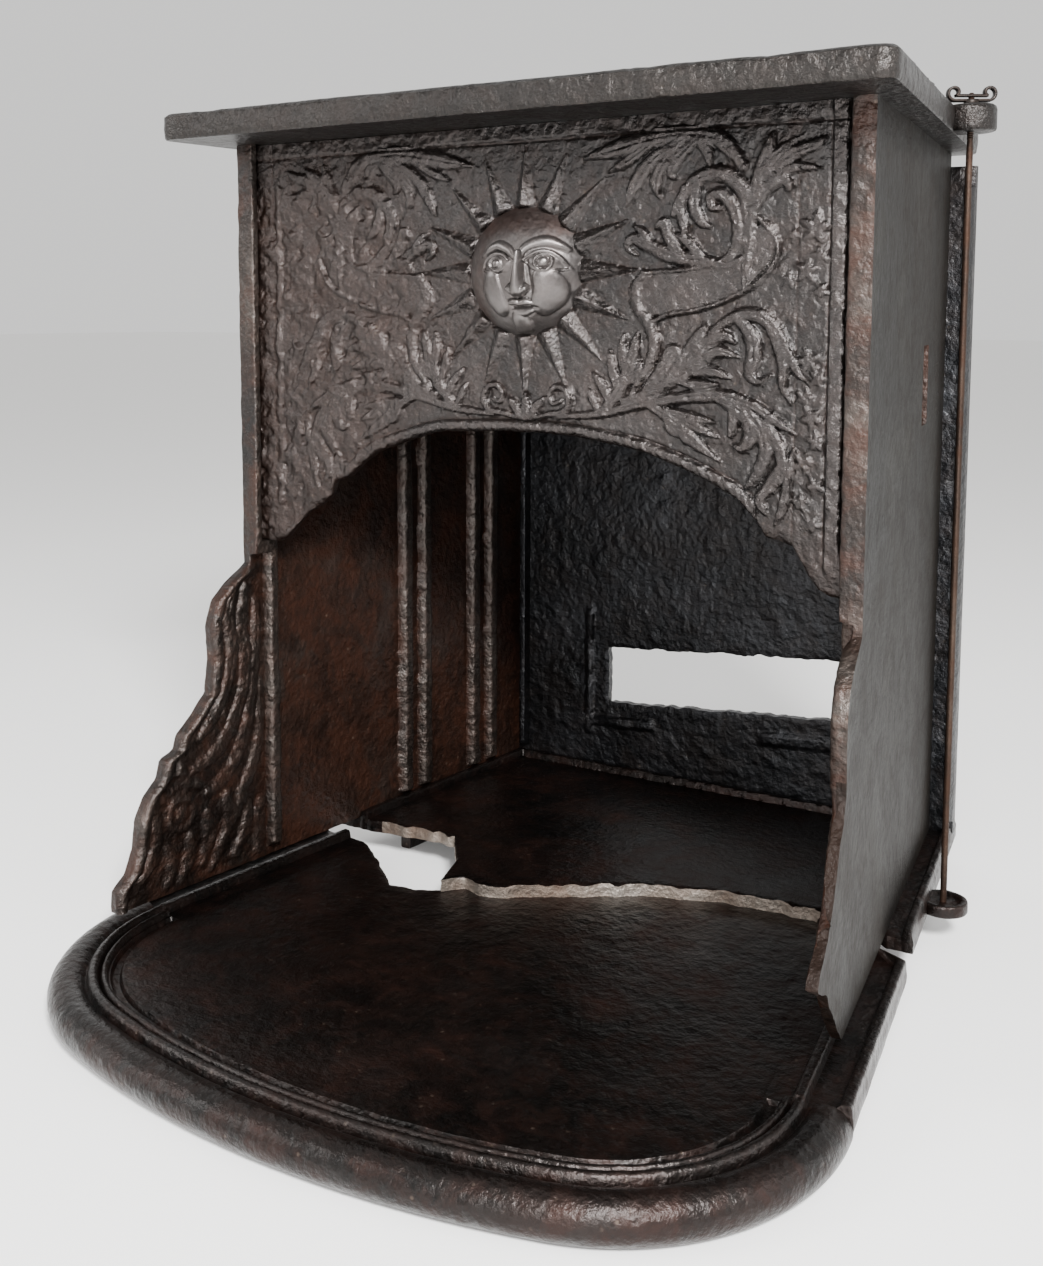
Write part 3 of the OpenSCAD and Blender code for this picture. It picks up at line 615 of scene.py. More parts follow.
def corroded(x, z):
    """how far rust has eaten the plate, 0 to 1: most of it on the left"""
    here = np.stack([x, z * 0, z], 1)
    left = smooth_step(-92, -160, x + 22 * grain(here, 45, 9)) * (0.4 + 0.6 * smooth_step(690, 640, z))
    low = smooth_step(392, 350, z) * 0.55
    patch = np.exp(-(((x + 120) / 60) ** 2 + ((z - 535) / 60) ** 2)) * 0.9
    return np.clip(left + low + patch, 0, 1)


# %% Build the front plate
# a point about every 1.5 mm, fine enough for the cut between two lobes of a leaf
bm, uv = new_grid(388, 236)
x = (uv[:, 0] * 2 - 1) * FRONT_HALF
low = arch_line(x)
top = SIDE_H - 0.5
z = low + uv[:, 1] * (top - low)
here = np.stack([x, z * 0, z], 1)
near_low = np.exp(-(z - low) / 5)
z = z + near_low * (1.0 * rough(here, 9, 4) + 0.6 * (x > 215) * rough(here, 5, 8))
eaten = corroded(x, z)
relief = front_relief(x, z)
lumps = rough(here, 15, 21) * 3.4 + np.minimum(0, rough(here, 6, 31) + 0.1) * 2.6
height = (relief * (1 - 0.42 * eaten) + eaten * lumps + 0.95 * rough(here, 5.5, 41, 2)
          + 0.4 * rough(here, 40, 51, 1))
height = height - 2.2 * np.exp(-(z - low) / 1.8)
send(bm.verts, np.stack([x, FACE_Y - height, z], 1))
# painted highlight in part: the raised ornament is marked lighter, for rubbed iron and for the light it
# catches, less where rust has eaten it
paint(bm, "wear_and_highlight", np.clip(relief * (1 - 0.5 * eaten) / 4, 0, 1))
paint(bm, "rust", np.clip(eaten * 0.55 + 0.3 * (relief < -0.3), 0, 1))
close_back(bm, (0, FACE_Y + FRONT_T, 0), (0, 1, 0), steps=3, ragged=0.35)
finish_piece(bm, "front_plate_casting", FRONT_IRON, replaces=["front_plate"])

# %% [markdown]
# ## The sun's face
# The boss is a shallow dome that stands well out of the plate. Its face is plainly cut: ringed
# pupils in almond eyes, a long straight nose, a small mouth. A disc of points that closes at its
# middle follows the dome, and the features are strokes pushed along the dome's own normal.

# %% Build the boss
BALL_R = (SUN_R ** 2 + SUN_RISE ** 2) / (2 * SUN_RISE)
# each eye's middle, its inner and outer corners, the rise of its lids and the ring round its pupil
EYES = [((29, 7), (13, 9), (49, 1), 10, 6.6), ((-12, 6), (0, 8), (-27, 1), 9, 5.6)]


def ring(a, b, at, radius, width):
    """a raised circle about the point at"""
    return np.exp(-((np.hypot(a - at[0], b - at[1]) - radius) / width) ** 2)


def face_relief(a, b):
    h = np.zeros(len(a))
    # cheeks and chin
    add_stroke(h, a, b, [(31, -6, 10), (34, -16, 13), (26, -28, 9)], 3.0)
    add_stroke(h, a, b, [(-18, -6, 8), (-18, -18, 11), (-12, -30, 8)], 3.0)
    add_stroke(h, a, b, [(5, -40, 8), (5, -44, 9)], 4.5)
    # brows, raised towards the nose
    add_stroke(h, a, b, [(10, 12, 3), (15, 20, 4), (30, 24, 4.5), (46, 17, 2)], 3.4)
    add_stroke(h, a, b, [(5, 12, 3), (-2, 18, 4), (-14, 21, 4), (-27, 13, 2)], 3.4)
    # almond eyes
    for mid, inner, outer, up, pupil in EYES:
        way = 1 if outer[0] > inner[0] else -1
        mx, mz = mid
        eyeball = 2.6 * np.exp(-(((a - mx) / 12) ** 2 + ((b - mz) / 6.5) ** 2) ** 2)
        h = np.maximum(h, eyeball)
        upper_lid = [(*inner, 1.0), (mx - 6 * way, mz + up * 0.8, 1.7), (mx + 3 * way, mz + up * 0.85, 1.8),
                     (mx + 12 * way, mz + up * 0.3, 1.5), (*outer, 0.8)]
        lower_lid = [(*inner, 0.9), (mx - 5 * way, mz - up * 0.62, 1.3), (mx + 6 * way, mz - up * 0.72, 1.4),
                     (*outer, 0.8)]
        add_stroke(h, a, b, upper_lid, 3.9)
        add_stroke(h, a, b, lower_lid, 3.5)
        h = h + 1.3 * ring(a, b, mid, pupil, 0.9) - 1.0 * ring(a, b, mid, pupil * 0.72, 0.7)
        h = h + 1.2 * np.exp(-(np.hypot(a - mx, b - mz) / (pupil * 0.5)) ** 4)
    # nose, with its sides cut in, and the mouth
    add_stroke(h, a, b, [(9.5, 14, 3.4), (9, 4, 4), (8, -8, 5.5), (7.5, -15, 7.5)], 8.5, flat=0.8)
    add_stroke(h, a, b, [(0.5, -14, 3), (7.5, -17, 4.5), (15, -14, 3)], 6.5)
    h = h - (1.6 * np.exp(-(((a - 17 - (4 - b) * 0.12) / 1.7) ** 2))
             * smooth_step(14, 4, b) * smooth_step(-20, -12, b))
    add_stroke(h, a, b, [(-1, -26, 2), (4, -25.5, 3), (8, -26.5, 2.6), (13, -25.5, 3), (20, -27, 1.5)], 3.6)
    add_stroke(h, a, b, [(2, -33, 2), (9, -34.5, 3.4), (17, -32.5, 2)], 3.6)
    h = h - 2.0 * np.exp(-(((b + 29.5) / 1.0) ** 2)) * smooth_step(-4, 1, a) * smooth_step(24, 19, a)
    h = h - 1.0 * np.exp(-(((a - 8) / 1.4) ** 2 + ((b + 21.5) / 3) ** 2))
    return h


bm, uv = new_grid(264, 86)
turn = uv[:, 0] * 2 * math.pi
out = np.clip(uv[:, 1] * (SUN_R + 3), 0.02, None)
a, b = out * np.cos(turn), out * np.sin(turn)
flat = np.minimum(out, SUN_R)
dome = np.sqrt(BALL_R ** 2 - flat ** 2) - (BALL_R - SUN_RISE)
dome = dome - np.clip(out - SUN_R, 0, None) * 1.3
normal = np.stack([a, -np.sqrt(np.maximum(BALL_R ** 2 - out ** 2, 1)), b], 1) / BALL_R
here = np.stack([a, dome, b], 1)
face = face_relief(a, b) * smooth_step(SUN_R, SUN_R - 6, out)
pitted = smooth_step(24, 40, b + 6 * grain(here, 20, 3)) + 0.8 * smooth_step(-18, -34, a)
pits = np.clip(pitted, 0, 1)
face = face * (1 - 0.3 * pits) + 0.12 * rough(here, 4, 2) + pits * 0.5 * rough(here, 5, 12)
base = np.stack([SUN_X + a, FACE_Y - dome, SUN_Z + b], 1)
send(bm.verts, base + normal * face[:, None])
# painted highlight in part: the dome and its raised features are marked lighter, for rubbing and for the light
# they catch, less on the pitted parts
paint(bm, "wear_and_highlight", np.clip(0.55 + face * 0.09 - 0.6 * pits, 0, 1))
paint(bm, "rust", np.clip(0.3 * pitted, 0, 1))
bmesh.ops.remove_doubles(bm, verts=bm.verts, dist=0.03 * MM)
rim = [e for e in bm.edges if e.is_boundary]
bmesh.ops.triangle_fill(bm, use_beauty=True, use_dissolve=False, edges=rim)
# rubbed bright by hands: the palest iron of all, so that the face is seen first
SUN_IRON = cast_iron("polished_cast_iron_boss", "#2b2726", "#454140", "#6a6664", "#3a241b",
                     3.0, 0.16, 0.3, 0.25)
finish_piece(bm, "sun_boss", SUN_IRON)


# %% [markdown]
# ## The side plates
# Each side plate carries the stove: pairs of ledges on its inner face held the front plate and the
# lost air box, and its front runs down into a curled wing. The ledges were cut loosely in the sand, so
# they are lumpy and a little wider at the foot. The right wing has lost its foot along a rough break.

# %% Side plate outlines, ledges and wing relief
WING = np.array([(-1, -168), (5, -168), (20, -166), (31, -152), (52, -143), (78, -140), (98, -129),
               (111, -114),
                 (128, -109), (133, -94), (147, -89), (162, -71), (180, -54), (212, -49), (245, -51),
                 (268, -43), (283, -26), (293, -8), (299, 0), (800, 0)], float)
BROKEN = np.array([(-1, -38), (12, -54), (28, -72), (50, -92), (64, -104), (72, -122), (80, -138), (90, -130),
                   (102, -108), (118, -90), (138, -80), (158, -70), (172, -56), (190, -48), (212, -49),
                   (245, -51), (268, -43), (283, -26), (293, -8), (299, 0), (800, 0)], float)
WING_LEAVES = [
    [(-22, 284, 5), (-30, 255, 8), (-25, 222, 8), (-32, 186, 7), (-50, 158, 7), (-68, 140, 4)],
    [(-8, 276, 5), (-13, 240, 8), (-8, 204, 8), (-15, 168, 8), (-32, 138, 8), (-54, 118, 7), (-76, 112, 4)],
    [(6, 262, 5), (5, 220, 7), (0, 178, 7), (-6, 146, 8), (-20, 114, 8), (-42, 92, 7), (-62, 84, 4)],
    [(10, 180, 5), (10, 140, 6), (2, 104, 7), (-14, 76, 8), (-28, 50, 7), (-44, 34, 5)],
    [(-124, 88, 5), (-122, 64, 7), (-126, 40, 7), (-140, 22, 4)],
    [(-110, 44, 5), (-104, 26, 7), (-112, 8, 4)],
    [(-82, 48, 5), (-84, 28, 8), (-94, 8, 4)],
    [(-62, 66, 5), (-58, 42, 8), (-68, 18, 5)],
    [(-36, 78, 5), (-34, 52, 7), (-44, 26, 6), (-58, 8, 3)],
    [(-8, 60, 5), (-12, 36, 8), (-26, 14, 6)],
    [(8, 58, 6), (6, 30, 9), (4, 10, 6)],
    [(-92, 118, 4), (-84, 102, 6), (-70, 96, 5)],
]
RIBS = [(24.0, 13.0, 322), (224.5, 14.0, 690), (257.5, 14.0, 690), (344.5, 14.0, 690), (377.5, 14.0, 690)]
HOLE_Y, HOLE_Z = (283.5, 318.5), (438.0, 513.0)
HOLE_MID = (sum(HOLE_Y) / 2, sum(HOLE_Z) / 2)
HOLE_HALF = ((HOLE_Y[1] - HOLE_Y[0]) / 2, (HOLE_Z[1] - HOLE_Z[0]) / 2)
SHOULDER = (308.0, 322.0)
# zones of the grid, finer at the ledges and the hole: where they end, and each one's share of the points
SIDE_COLUMNS = (list(range(10)), [66, 12, 62, 30, 6, 12, 8, 32, 22])
SIDE_ROWS = ([0, 300, 326, *HOLE_Z, SIDE_H], [116, 14, 44, 30, 74])
HOLE_COLUMN = 5.5


def knots(u, places, counts):
    """spreads u from 0 to 1 over zones of uneven fineness"""
    share = np.concatenate([[0], np.cumsum(counts)]) / sum(counts)
    return np.interp(u, share, places)


def side_relief(y, z, here):
    """the wing's leaves, with a ringed boss among them"""
    h = np.zeros(len(y))
    for s in WING_LEAVES:
        add_stroke(h, y, z, s, 3.4, crease=0.8)
    ring_at = np.hypot(y + 92, z - 72)
    h = (np.where(ring_at < 20, 0, h) + 3.0 * np.exp(-((ring_at - 15) / 3.0) ** 2)
         + 3.2 * np.exp(-(ring_at / 6.5) ** 4))
    wing_only = smooth_step(300, 288, z) * smooth_step(20, 12, y)
    sand = 0.9 * rough(here, 14, 77) + 0.9 * rough(here, 5, 78, 2)
    return h * wing_only * (0.8 + 0.35 * rough(here, 9, 79)) + wing_only * sand


def upright_ledges(y, z, here):
    """the ribs that held the plates, the front ledge and the shoulder that the front plate stands on"""
    h = np.zeros(len(y))
    lump = 1 + 0.10 * rough(here * np.array([1, 1, 0.7]), 13, 61)
    for n, (mid, width, top_z) in enumerate(RIBS):
        wide = width / 2 * (1 + 0.22 * (1 - np.clip(z / 700, 0, 1))) * lump
        profile = np.clip(1 - (np.abs(y - mid - 0.5 * grain(here, 40, 5 + n)) / wide) ** 4, 0, 1) ** 0.45
        top_z = SIDE_H - 4 if n == 0 else top_z
        h = np.maximum(h, 10 * lump * profile * smooth_step(9, 13, z) * smooth_step(top_z + 3, top_z - 3, z))
    front = (np.clip(1 - (np.abs(y - 4.5) / 4.9) ** 6, 0, 1) ** 0.5
             * smooth_step(SHOULDER[0] - 1, SHOULDER[0] + 2, z))
    seat = ((z > SHOULDER[0]) & (z < SHOULDER[1]) & (y > -1) & (y < 27)) * smooth_step(28, 24, y)
    return np.maximum(h, 9.8 * np.maximum(front * (0.97 + 0.03 * lump), seat))


def side_casting(side, edge_line):
    """one side plate: side is -1 for the left and 1 for the right, edge_line its front edge"""
    bm, uv = new_grid(224, 262)
    z = knots(uv[:, 1], *SIDE_ROWS)
    edge = np.interp(z, edge_line[:, 0], edge_line[:, 1])
    broken = side > 0
    line = knots(uv[:, 0], *SIDE_COLUMNS)
    zones = [15, 33, 215, 268, HOLE_Y[0], HOLE_Y[1], 335, 388, PLATE_DEPTH]
    y = np.interp(line, range(1, 10), zones)
    y = np.where(line < 1, edge + (16 - edge) * line, y)
    here = np.stack([y, z * 0 + 300 * side, z], 1)
    break_zone = smooth_step(200, 170, z) * broken
    y = y + np.exp(-(y - edge) / 6) * (0.9 + 3.6 * break_zone) * rough(here, 12, 15) * (z < SIDE_H - 1)
    h = side_relief(y, z, here)
    to_edge = y - edge
    rim = np.clip(1 - (np.abs(to_edge - 6) / 6) ** 2, 0, 1) ** 0.5 * smooth_step(298, 290, z) * (1 - break_zone)
    h = np.maximum(h * smooth_step(9, 14, to_edge), (4.2 + 0.5 * grain(here, 9, 4)) * rim)
    ledges = upright_ledges(y, z, here)
    h = np.where(ledges > 0.5, np.maximum(ledges, h), h)
    h = h + 0.7 * rough(here, 7, 25) + 0.6 * rough(here, 60, 35, 1) - 1.4 * np.exp(-to_edge / 1.5)
    drop_faces(bm, uv, lambda m: (
        (np.abs(knots(m[:, 0], *SIDE_COLUMNS) - HOLE_COLUMN) < 0.5)
        & (np.abs(knots(m[:, 1], *SIDE_ROWS) - HOLE_MID[1]) < HOLE_HALF[1])))
    near_hole = np.maximum(np.abs(y - HOLE_MID[0]) - HOLE_HALF[0], np.abs(z - HOLE_MID[1]) - HOLE_HALF[1])
    y = y + np.exp(-(near_hole / 4) ** 2) * 2.2 * rough(here, 9, 45)
    lx = -SIDE_T - h
    places = np.stack([side * (HALF_W + lx * math.cos(SPLAY) - y * math.sin(SPLAY)),
                       lx * math.sin(SPLAY) + y * math.cos(SPLAY), z], 1)
    send(bm.verts, places)
    # painted highlight in part: the ledges and the wing's relief are marked lighter, for rubbed iron and for
    # the light they catch, but not at the very edge
    paint(bm, "wear_and_highlight", np.clip(np.maximum(ledges / 10, h / 5) * 0.9, 0, 1) * smooth_step(0.5, 3, to_edge))
    rust = 0.45 * (ledges < 1) * smooth_step(-20, 40, y) + 0.5 * break_zone * np.exp(-to_edge / 10)
    paint(bm, "rust", np.clip(rust + 0.3 * rough(here, 60, 55), 0, 1))
    edges, outer = close_back(bm, (side * HALF_W, 0, 0), (side * math.cos(SPLAY), math.sin(SPLAY), 0), steps=4,
                              ragged=0.9 if broken else 0.45, seed=70 + side)
    # the outer faces take the grey-brown iron whose tone is darkened as painted shade
    for f in outer:
        f.material_index = 1
    for f in edges:
        if broken and f.is_valid:
            middle = f.calc_center_median()
            if middle.z < HEARTH_Z + 0.2 and middle.y < FRONT_Y:
                f.material_index = 2
    return bm


for side, name, line in ((-1, "left_side_casting", WING), (1, "right_side_casting", BROKEN)):
    bm = side_casting(side, line)
    piece = finish_piece(bm, name, SIDE_IRON, replaces=[name.replace("casting", "plate")])
    piece.data.materials.append(SHADE_DARKENED_OUTER_IRON)
    piece.data.materials.append(EDGE_IRON)

# %% [markdown]
# ## The hearth, in two pieces
# The hearth was one casting until it broke across. The front piece carries a rolled fender with two
# small beads and a groove inside it. Its outline is two straight splayed sides, two corner arcs and one
# wide bow, so a section swept round that outline gives the fender, and straight lines from the
# moulding to the broken edge give the plate inside it.

# %% The hearth's outline and its broken edges
FLANGE, ROLL_R, CORNER_R, CORNER_Y, HEARTH_REACH = 24.0, 17.0, 188.0, 140.0, 350.0
FRONT_TOP, HEARTH_T = -13.0, 13.0
RIM = REACH + FLANGE
CORNER_X = (RIM - CORNER_R + CORNER_Y * math.sin(SPLAY)) / math.cos(SPLAY)
BOW_Y = ((CORNER_X ** 2 + CORNER_Y ** 2 - (HEARTH_REACH - CORNER_R) ** 2)
         / (2 * (HEARTH_REACH - CORNER_R) - 2 * CORNER_Y))
BOW_TURN = math.atan(CORNER_X / (BOW_Y + CORNER_Y))
MOULDING = 62.0
ROLL_POINTS, INNER_POINTS = 36, 30
# the flat cap at each rear end reaches from the section's first point to this point of the moulding
CAP_AT = 8
SIDE_END = 129.0
# The right side's last stretch is drawn out towards the break by this share. At a share of 1, or with the
# left side drawn out as well at this share, the underside's fill leaves open edges.
DRAWN_SHARE = 0.95
# the break's faces are painted bright within this distance of the middle, in metres
BREAK_SHOWN = 0.25
FRONT_BREAK = np.array([(-330, 134), (-265, 127), (-244, 118), (-205, 84), (-166, 48), (-137, 50), (-113, 66),
                        (-96, 90), (-74, 84), (-52, 92), (-5, 122), (57, 165), (127, 190), (209, 200),
                        (245, 186), (262, 176), (287, 132), (330, 126)], float)
REAR_BREAK = np.array([(-330, 150), (-256, 151), (-183, 162), (-162, 158), (-126, 107), (-112, 56), (-96, 76),
                       (-74, 67), (-52, 76), (-5, 107), (57, 149), (127, 174), (164, 178), (262, 184),
                       (287, 160), (330, 164)], float)


def side_line(inset, y):
    """x of the hearth's right side, inset from its outer edge, at depth y"""
    return (RIM - inset - y * math.sin(SPLAY)) / math.cos(SPLAY)


def rim_stations():
    """points round the outer edge from the left side's rear end to the right's, their outward
    directions, and 1 where the fender runs or 0 along the plain sides"""
    end_y = -CORNER_Y + CORNER_R * math.sin(SPLAY)
    rows = [(side_line(0, y), y, math.cos(SPLAY), math.sin(SPLAY), 0)
            for y in np.linspace(SIDE_END, end_y + 0.8, 72)]
    for a in np.linspace(SPLAY, -(math.pi / 2 - BOW_TURN), 90):
        rows.append((CORNER_X + CORNER_R * math.cos(a), -CORNER_Y + CORNER_R * math.sin(a),
                     math.cos(a), math.sin(a), 1))
    for a in np.linspace(BOW_TURN, 0, 68)[1:]:
        rows.append(((BOW_Y + HEARTH_REACH) * math.sin(a), BOW_Y - (BOW_Y + HEARTH_REACH) * math.cos(a),
                     math.sin(a), -math.cos(a), 1))
    right = np.array(rows)
    left = right * np.array([-1, 1, -1, 1, 1])
    return np.vstack([left, right[-2::-1]])


def moulding_top(d):
    """height over the floor of the mould, at inset d inside the roll"""
    z = np.full(len(d), FRONT_TOP)
    for at, r in ((37.0, 4.5), (46.5, 3.0)):
        z = np.maximum(z, FRONT_TOP + 2 + np.sqrt(np.clip(r ** 2 - (d - at) ** 2, 0, None)) * 1.15 - 1.0
                       * (np.abs(d - at) > r) * 9)
    z = z - 1.0 * np.exp(-((d - 42.4) / 1.2) ** 2) - 1.0 * np.exp(-((d - 31.2) / 1.0) ** 2)
    return z - 4 * smooth_step(51, 53, d) * smooth_step(61, 58.5, d)


def sections():
    """the fender's section and the plain side's, as (inset, z) with the same number of points"""
    turn = np.radians(np.linspace(-38, -317, ROLL_POINTS))
    roll = np.stack([ROLL_R + ROLL_R * np.cos(turn), -24 + ROLL_R * np.sin(turn)], 1)
    inner = np.linspace(30.5, MOULDING, INNER_POINTS)
    fender = np.vstack([[(inner[CAP_AT], -26)], roll, np.stack([inner, moulding_top(inner)], 1)])
    under = [(d, -26.0) for d in np.linspace(36, 2, 14)]
    edge = [(0.6, -25.4), (0.2, -23), (0.0, -20), (0.1, -17), (0.5, -14.5), (0.9, -12), (1.1, -8),
            (1.6, -5.8), (2.4, -5)]
    ledge = [(4, -4.9), (6.5, -4.9), (8.4, -5), (9.4, -5.8), (9.9, -8), (10.2, -11), (10.8, -12.6)]
    flat = [(d, FRONT_TOP) for d in np.linspace(12.5, 29, 6)]
    seat = np.clip(1 - np.abs((inner - 38) / 4.9) ** 6, 0, 1) ** 0.5 * 8
    side = np.vstack([[(inner[CAP_AT], -26)], under, edge, ledge, flat, np.stack([inner, FRONT_TOP + seat], 1)])
    return fender, side


print("hearth corner x", round(CORNER_X, 2), "bow centre y", round(BOW_Y, 1),
      "section points", [len(section) for section in sections()])

# %% Build the front hearth piece
stations = rim_stations()
fender, side = sections()
n_station, n_section, n_plate = len(stations), len(fender), 104
bm, uv = new_grid(n_station - 1, n_section + n_plate - 1)
i = np.rint(uv[:, 0] * (n_station - 1)).astype(int)
j = np.rint(uv[:, 1] * (n_section + n_plate - 1)).astype(int)
on_rim = stations[i, 4]
jj = np.minimum(j, n_section - 1)
d = np.where(on_rim > 0.5, fender[jj, 0], side[jj, 0])
z = np.where(on_rim > 0.5, fender[jj, 1], side[jj, 1])
worn = 0.55 * rough(stations[i][:, [0, 1, 1]], 30, 90)
p = stations[i][:, :2] - stations[i][:, 2:4] * d[:, None]
# the right side ends along the break too, so its last stretch is drawn out towards it
side_end = SIDE_END - math.sin(SPLAY) * d
drawn_out = smooth_step(60, 120, p[:, 1] + math.sin(SPLAY) * d) * (on_rim < 0.5)
drawn_out = drawn_out * (p[:, 0] > 0) * DRAWN_SHARE
p[:, 1] += (np.interp(p[:, 0], FRONT_BREAK[:, 0], FRONT_BREAK[:, 1]) - side_end) * drawn_out
share = np.concatenate([[0], np.cumsum(np.hypot(*np.diff(stations[:, :2], axis=0).T))])
share = (share / share[-1])[i]
first = stations[0, :2] - stations[0, 2:4] * MOULDING
broken_x = first[0] + share * -2 * first[0]
broken_y = np.interp(broken_x, FRONT_BREAK[:, 0], FRONT_BREAK[:, 1])
chips = rough(np.stack([broken_x, broken_y, broken_x * 0], 1), 15, 12, 4)
broken_y = broken_y + 3.2 * chips * smooth_step(0, 0.03, share) * smooth_step(1, 0.97, share)
t = np.clip((j - n_section + 1) / n_plate, 0, 1)
p = p * (1 - t)[:, None] + np.stack([broken_x, broken_y], 1) * t[:, None]
here = np.stack([p[:, 0], p[:, 1], z], 1)
top = z > -25.5
z = z + np.where(t > 0, 0.6 * rough(here, 18, 3, 3) + 1.1 * np.minimum(0, rough(here, 8, 13) + 0.2)
                 + 0.8 * grain(here, 150, 4), 0) * smooth_step(0, 0.06, t)
z = z - 1.2 * np.exp(-(1 - t) * 60) * (t > 0)
bumps = np.where((t <= 0) & top, 0.35 * rough(here, 9, 23) + worn * 0.6, 0)
out = -stations[i][:, 2:4]
p = p + out * (bumps * smooth_step(30, 10, d))[:, None]
z = z + bumps * smooth_step(6, 17, d)
send(bm.verts, np.stack([p[:, 0], p[:, 1], z], 1))
# painted highlight and painted light: the fender's top is marked lighter for rubbed wax and for the long
# highlight it catches, and the plate next to the break is marked lighter so that the crack reads as a bright
# line
high = np.where(t <= 0, np.clip((z - FRONT_TOP) / 5, 0, 1), np.exp(-(1 - t) * 50) * 0.6)
paint(bm, "wear_and_highlight", np.clip(high, 0, 1) * top)
paint(bm, "rust", np.clip(0.55 * rough(here, 55, 30) + 0.05, 0, 0.7))
# each rear end of the moulding gets its own flat cap, then the rest of the rim goes down to the underside
order = {(a, b): v for a, b, v in zip(i, j, bm.verts)}
cap_points = 1 + ROLL_POINTS + CAP_AT + 1
caps = [bm.faces.new([order[end, k] for k in range(cap_points)]) for end in (0, n_station - 1)]
bmesh.ops.triangulate(bm, faces=caps)
under_z = HEARTH_Z - 25.9 * MM


def already_down(edge):
    """true for an edge in the underside already, or one that stands upright"""
    a, b = (v.co for v in edge.verts)
    return (a.z < under_z and b.z < under_z) or (a - b).to_2d().length < 0.001 * MM


edges, _ = close_back(bm, (0, 0, -26), (0, 0, 1), steps=1, keep=already_down)
# painted light: near the middle the broken faces take the pale break colour, so that the crack reads as a
# bright line
for f in edges:
    if f.is_valid and abs(f.calc_center_median().x) < BREAK_SHOWN:
        f.material_index = 1
piece = finish_piece(bm, "hearth_front_casting", HEARTH_IRON, replaces=["hearth_front"])
piece.data.materials.append(PAINTED_BRIGHT_BREAK)

# %% Build the rear hearth piece
HEARTH_BACK = (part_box("hearth_rear")[1].y - FRONT_Y) / MM
# columns are laid out on a nominal width: within the margin they keep true millimetres from the side
NOMINAL_W, MARGIN = 600, 48
bm, uv = new_grid(264, 146)
side_knots = [0, 12, 30, 44, MARGIN]
across = knots(uv[:, 0], side_knots + [NOMINAL_W - k for k in reversed(side_knots)],
               [14, 8, 16, 2, 210, 2, 16, 8, 14])
back = knots(uv[:, 1], [0, 0.82, 0.98, 1], [112, 42, 8])
y = np.full(len(uv), 300.0)
for _ in range(8):
    edge = side_line(0, y)
    near_side = np.minimum(across, NOMINAL_W - across)
    inner_share = (near_side - MARGIN) / (NOMINAL_W / 2 - MARGIN)
    x = np.where(near_side < MARGIN, edge - near_side, (edge - MARGIN) * (1 - inner_share))
    x = x * np.where(across < NOMINAL_W / 2, -1, 1)
    line = np.interp(x, REAR_BREAK[:, 0], REAR_BREAK[:, 1])
    y = line + (HEARTH_BACK - line) * back
here = np.stack([x, y, x * 0], 1)
chips = rough(np.stack([x, x * 0, x * 0], 1), 13, 44, 4)
y = y + 3.0 * chips * np.exp(-(y - line) / 14)
inset = np.abs(side_line(0, y) - np.abs(x)) * math.cos(SPLAY)
ledge = np.maximum(bar_profile(inset - 5.5), bar_profile(inset - 38))
back_ledge = np.maximum(bar_profile(y - BACK_Y + 5), bar_profile(y - BACK_Y - BACK_T - 5)) * (inset > 34)
z = 8 * np.maximum(ledge, back_ledge) ** 0.5 * (1 + 0.08 * rough(here, 12, 5))
z = z + 0.4 * rough(here, 20, 7) + 0.5 * np.minimum(0, rough(here, 6, 17) + 0.1) - 1.0 * np.exp(-(y - line) / 2)
send(bm.verts, np.stack([x, y, z], 1))
# painted highlight in part: the ledges are marked lighter for rubbing and for the light they catch, and the
# edge along the break is painted bright so that the crack reads as a bright line
paint(bm, "wear_and_highlight", np.clip(z / 8 * 0.7 + 0.5 * np.exp(-(y - line) / 3), 0, 1))
paint(bm, "rust", np.clip(0.5 * rough(here, 50, 37) + 0.1, 0, 0.7))
edges, _ = close_back(bm, (0, 0, -HEARTH_T), (0, 0, 1), steps=4, ragged=1.2)
# painted light: near the middle the broken faces take the pale break colour, so that the crack reads as a
# bright line
for f in edges:
    if f.is_valid and f.calc_center_median().y < FRONT_Y + 0.25 and abs(f.calc_center_median().x) < BREAK_SHOWN:
        f.material_index = 1
piece = finish_piece(bm, "hearth_rear_casting", HEARTH_IRON, replaces=["hearth_rear"])
piece.data.materials.append(PAINTED_BRIGHT_BREAK)


# %% [markdown]
# ## The back plate
# The back plate was cast in a coarse bed, so it is covered in soft lumps. A slot lets the smoke out. It
# was cut askew, and low bars of an old frame run beside it.

# %% Build the back plate
SLOT_X, SLOT_Z, SLOT_H, SLOT_RISE = (-124.0, 164.0), 81.0, 67.0, 21.0
SLOT_W = SLOT_X[1] - SLOT_X[0]
BACK_H = 688
BACK_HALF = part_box("back_plate")[1].x / MM
COLUMNS = ([0, BACK_HALF + SLOT_X[0], BACK_HALF + SLOT_X[1], 2 * BACK_HALF], [66, 100, 54])
ROWS = ([0, SLOT_Z, SLOT_Z + SLOT_H, BACK_H], [36, 28, 158])
bm, uv = new_grid(220, 222)
x = knots(uv[:, 0], *COLUMNS) - BACK_HALF
z0 = knots(uv[:, 1], *ROWS)
lean = np.clip((x - SLOT_X[0]) / SLOT_W, -0.2, 1.2) * SLOT_RISE
z = z0 + lean * np.where(z0 < SLOT_Z, z0 / SLOT_Z, np.clip((480 - z0) / (480 - SLOT_Z - SLOT_H), 0, 1))
here = np.stack([x, x * 0 + 440, z], 1)
gap = np.maximum(np.maximum(SLOT_X[0] - x, x - SLOT_X[1]), np.maximum(SLOT_Z - z0, z0 - SLOT_Z - SLOT_H))
near_slot = np.exp(-(gap / 3.5) ** 2)
x = x + near_slot * 2.0 * rough(here, 11, 3) * (np.abs(x) < BACK_HALF - 5)
z = z + near_slot * 2.6 * rough(here, 9, 9)
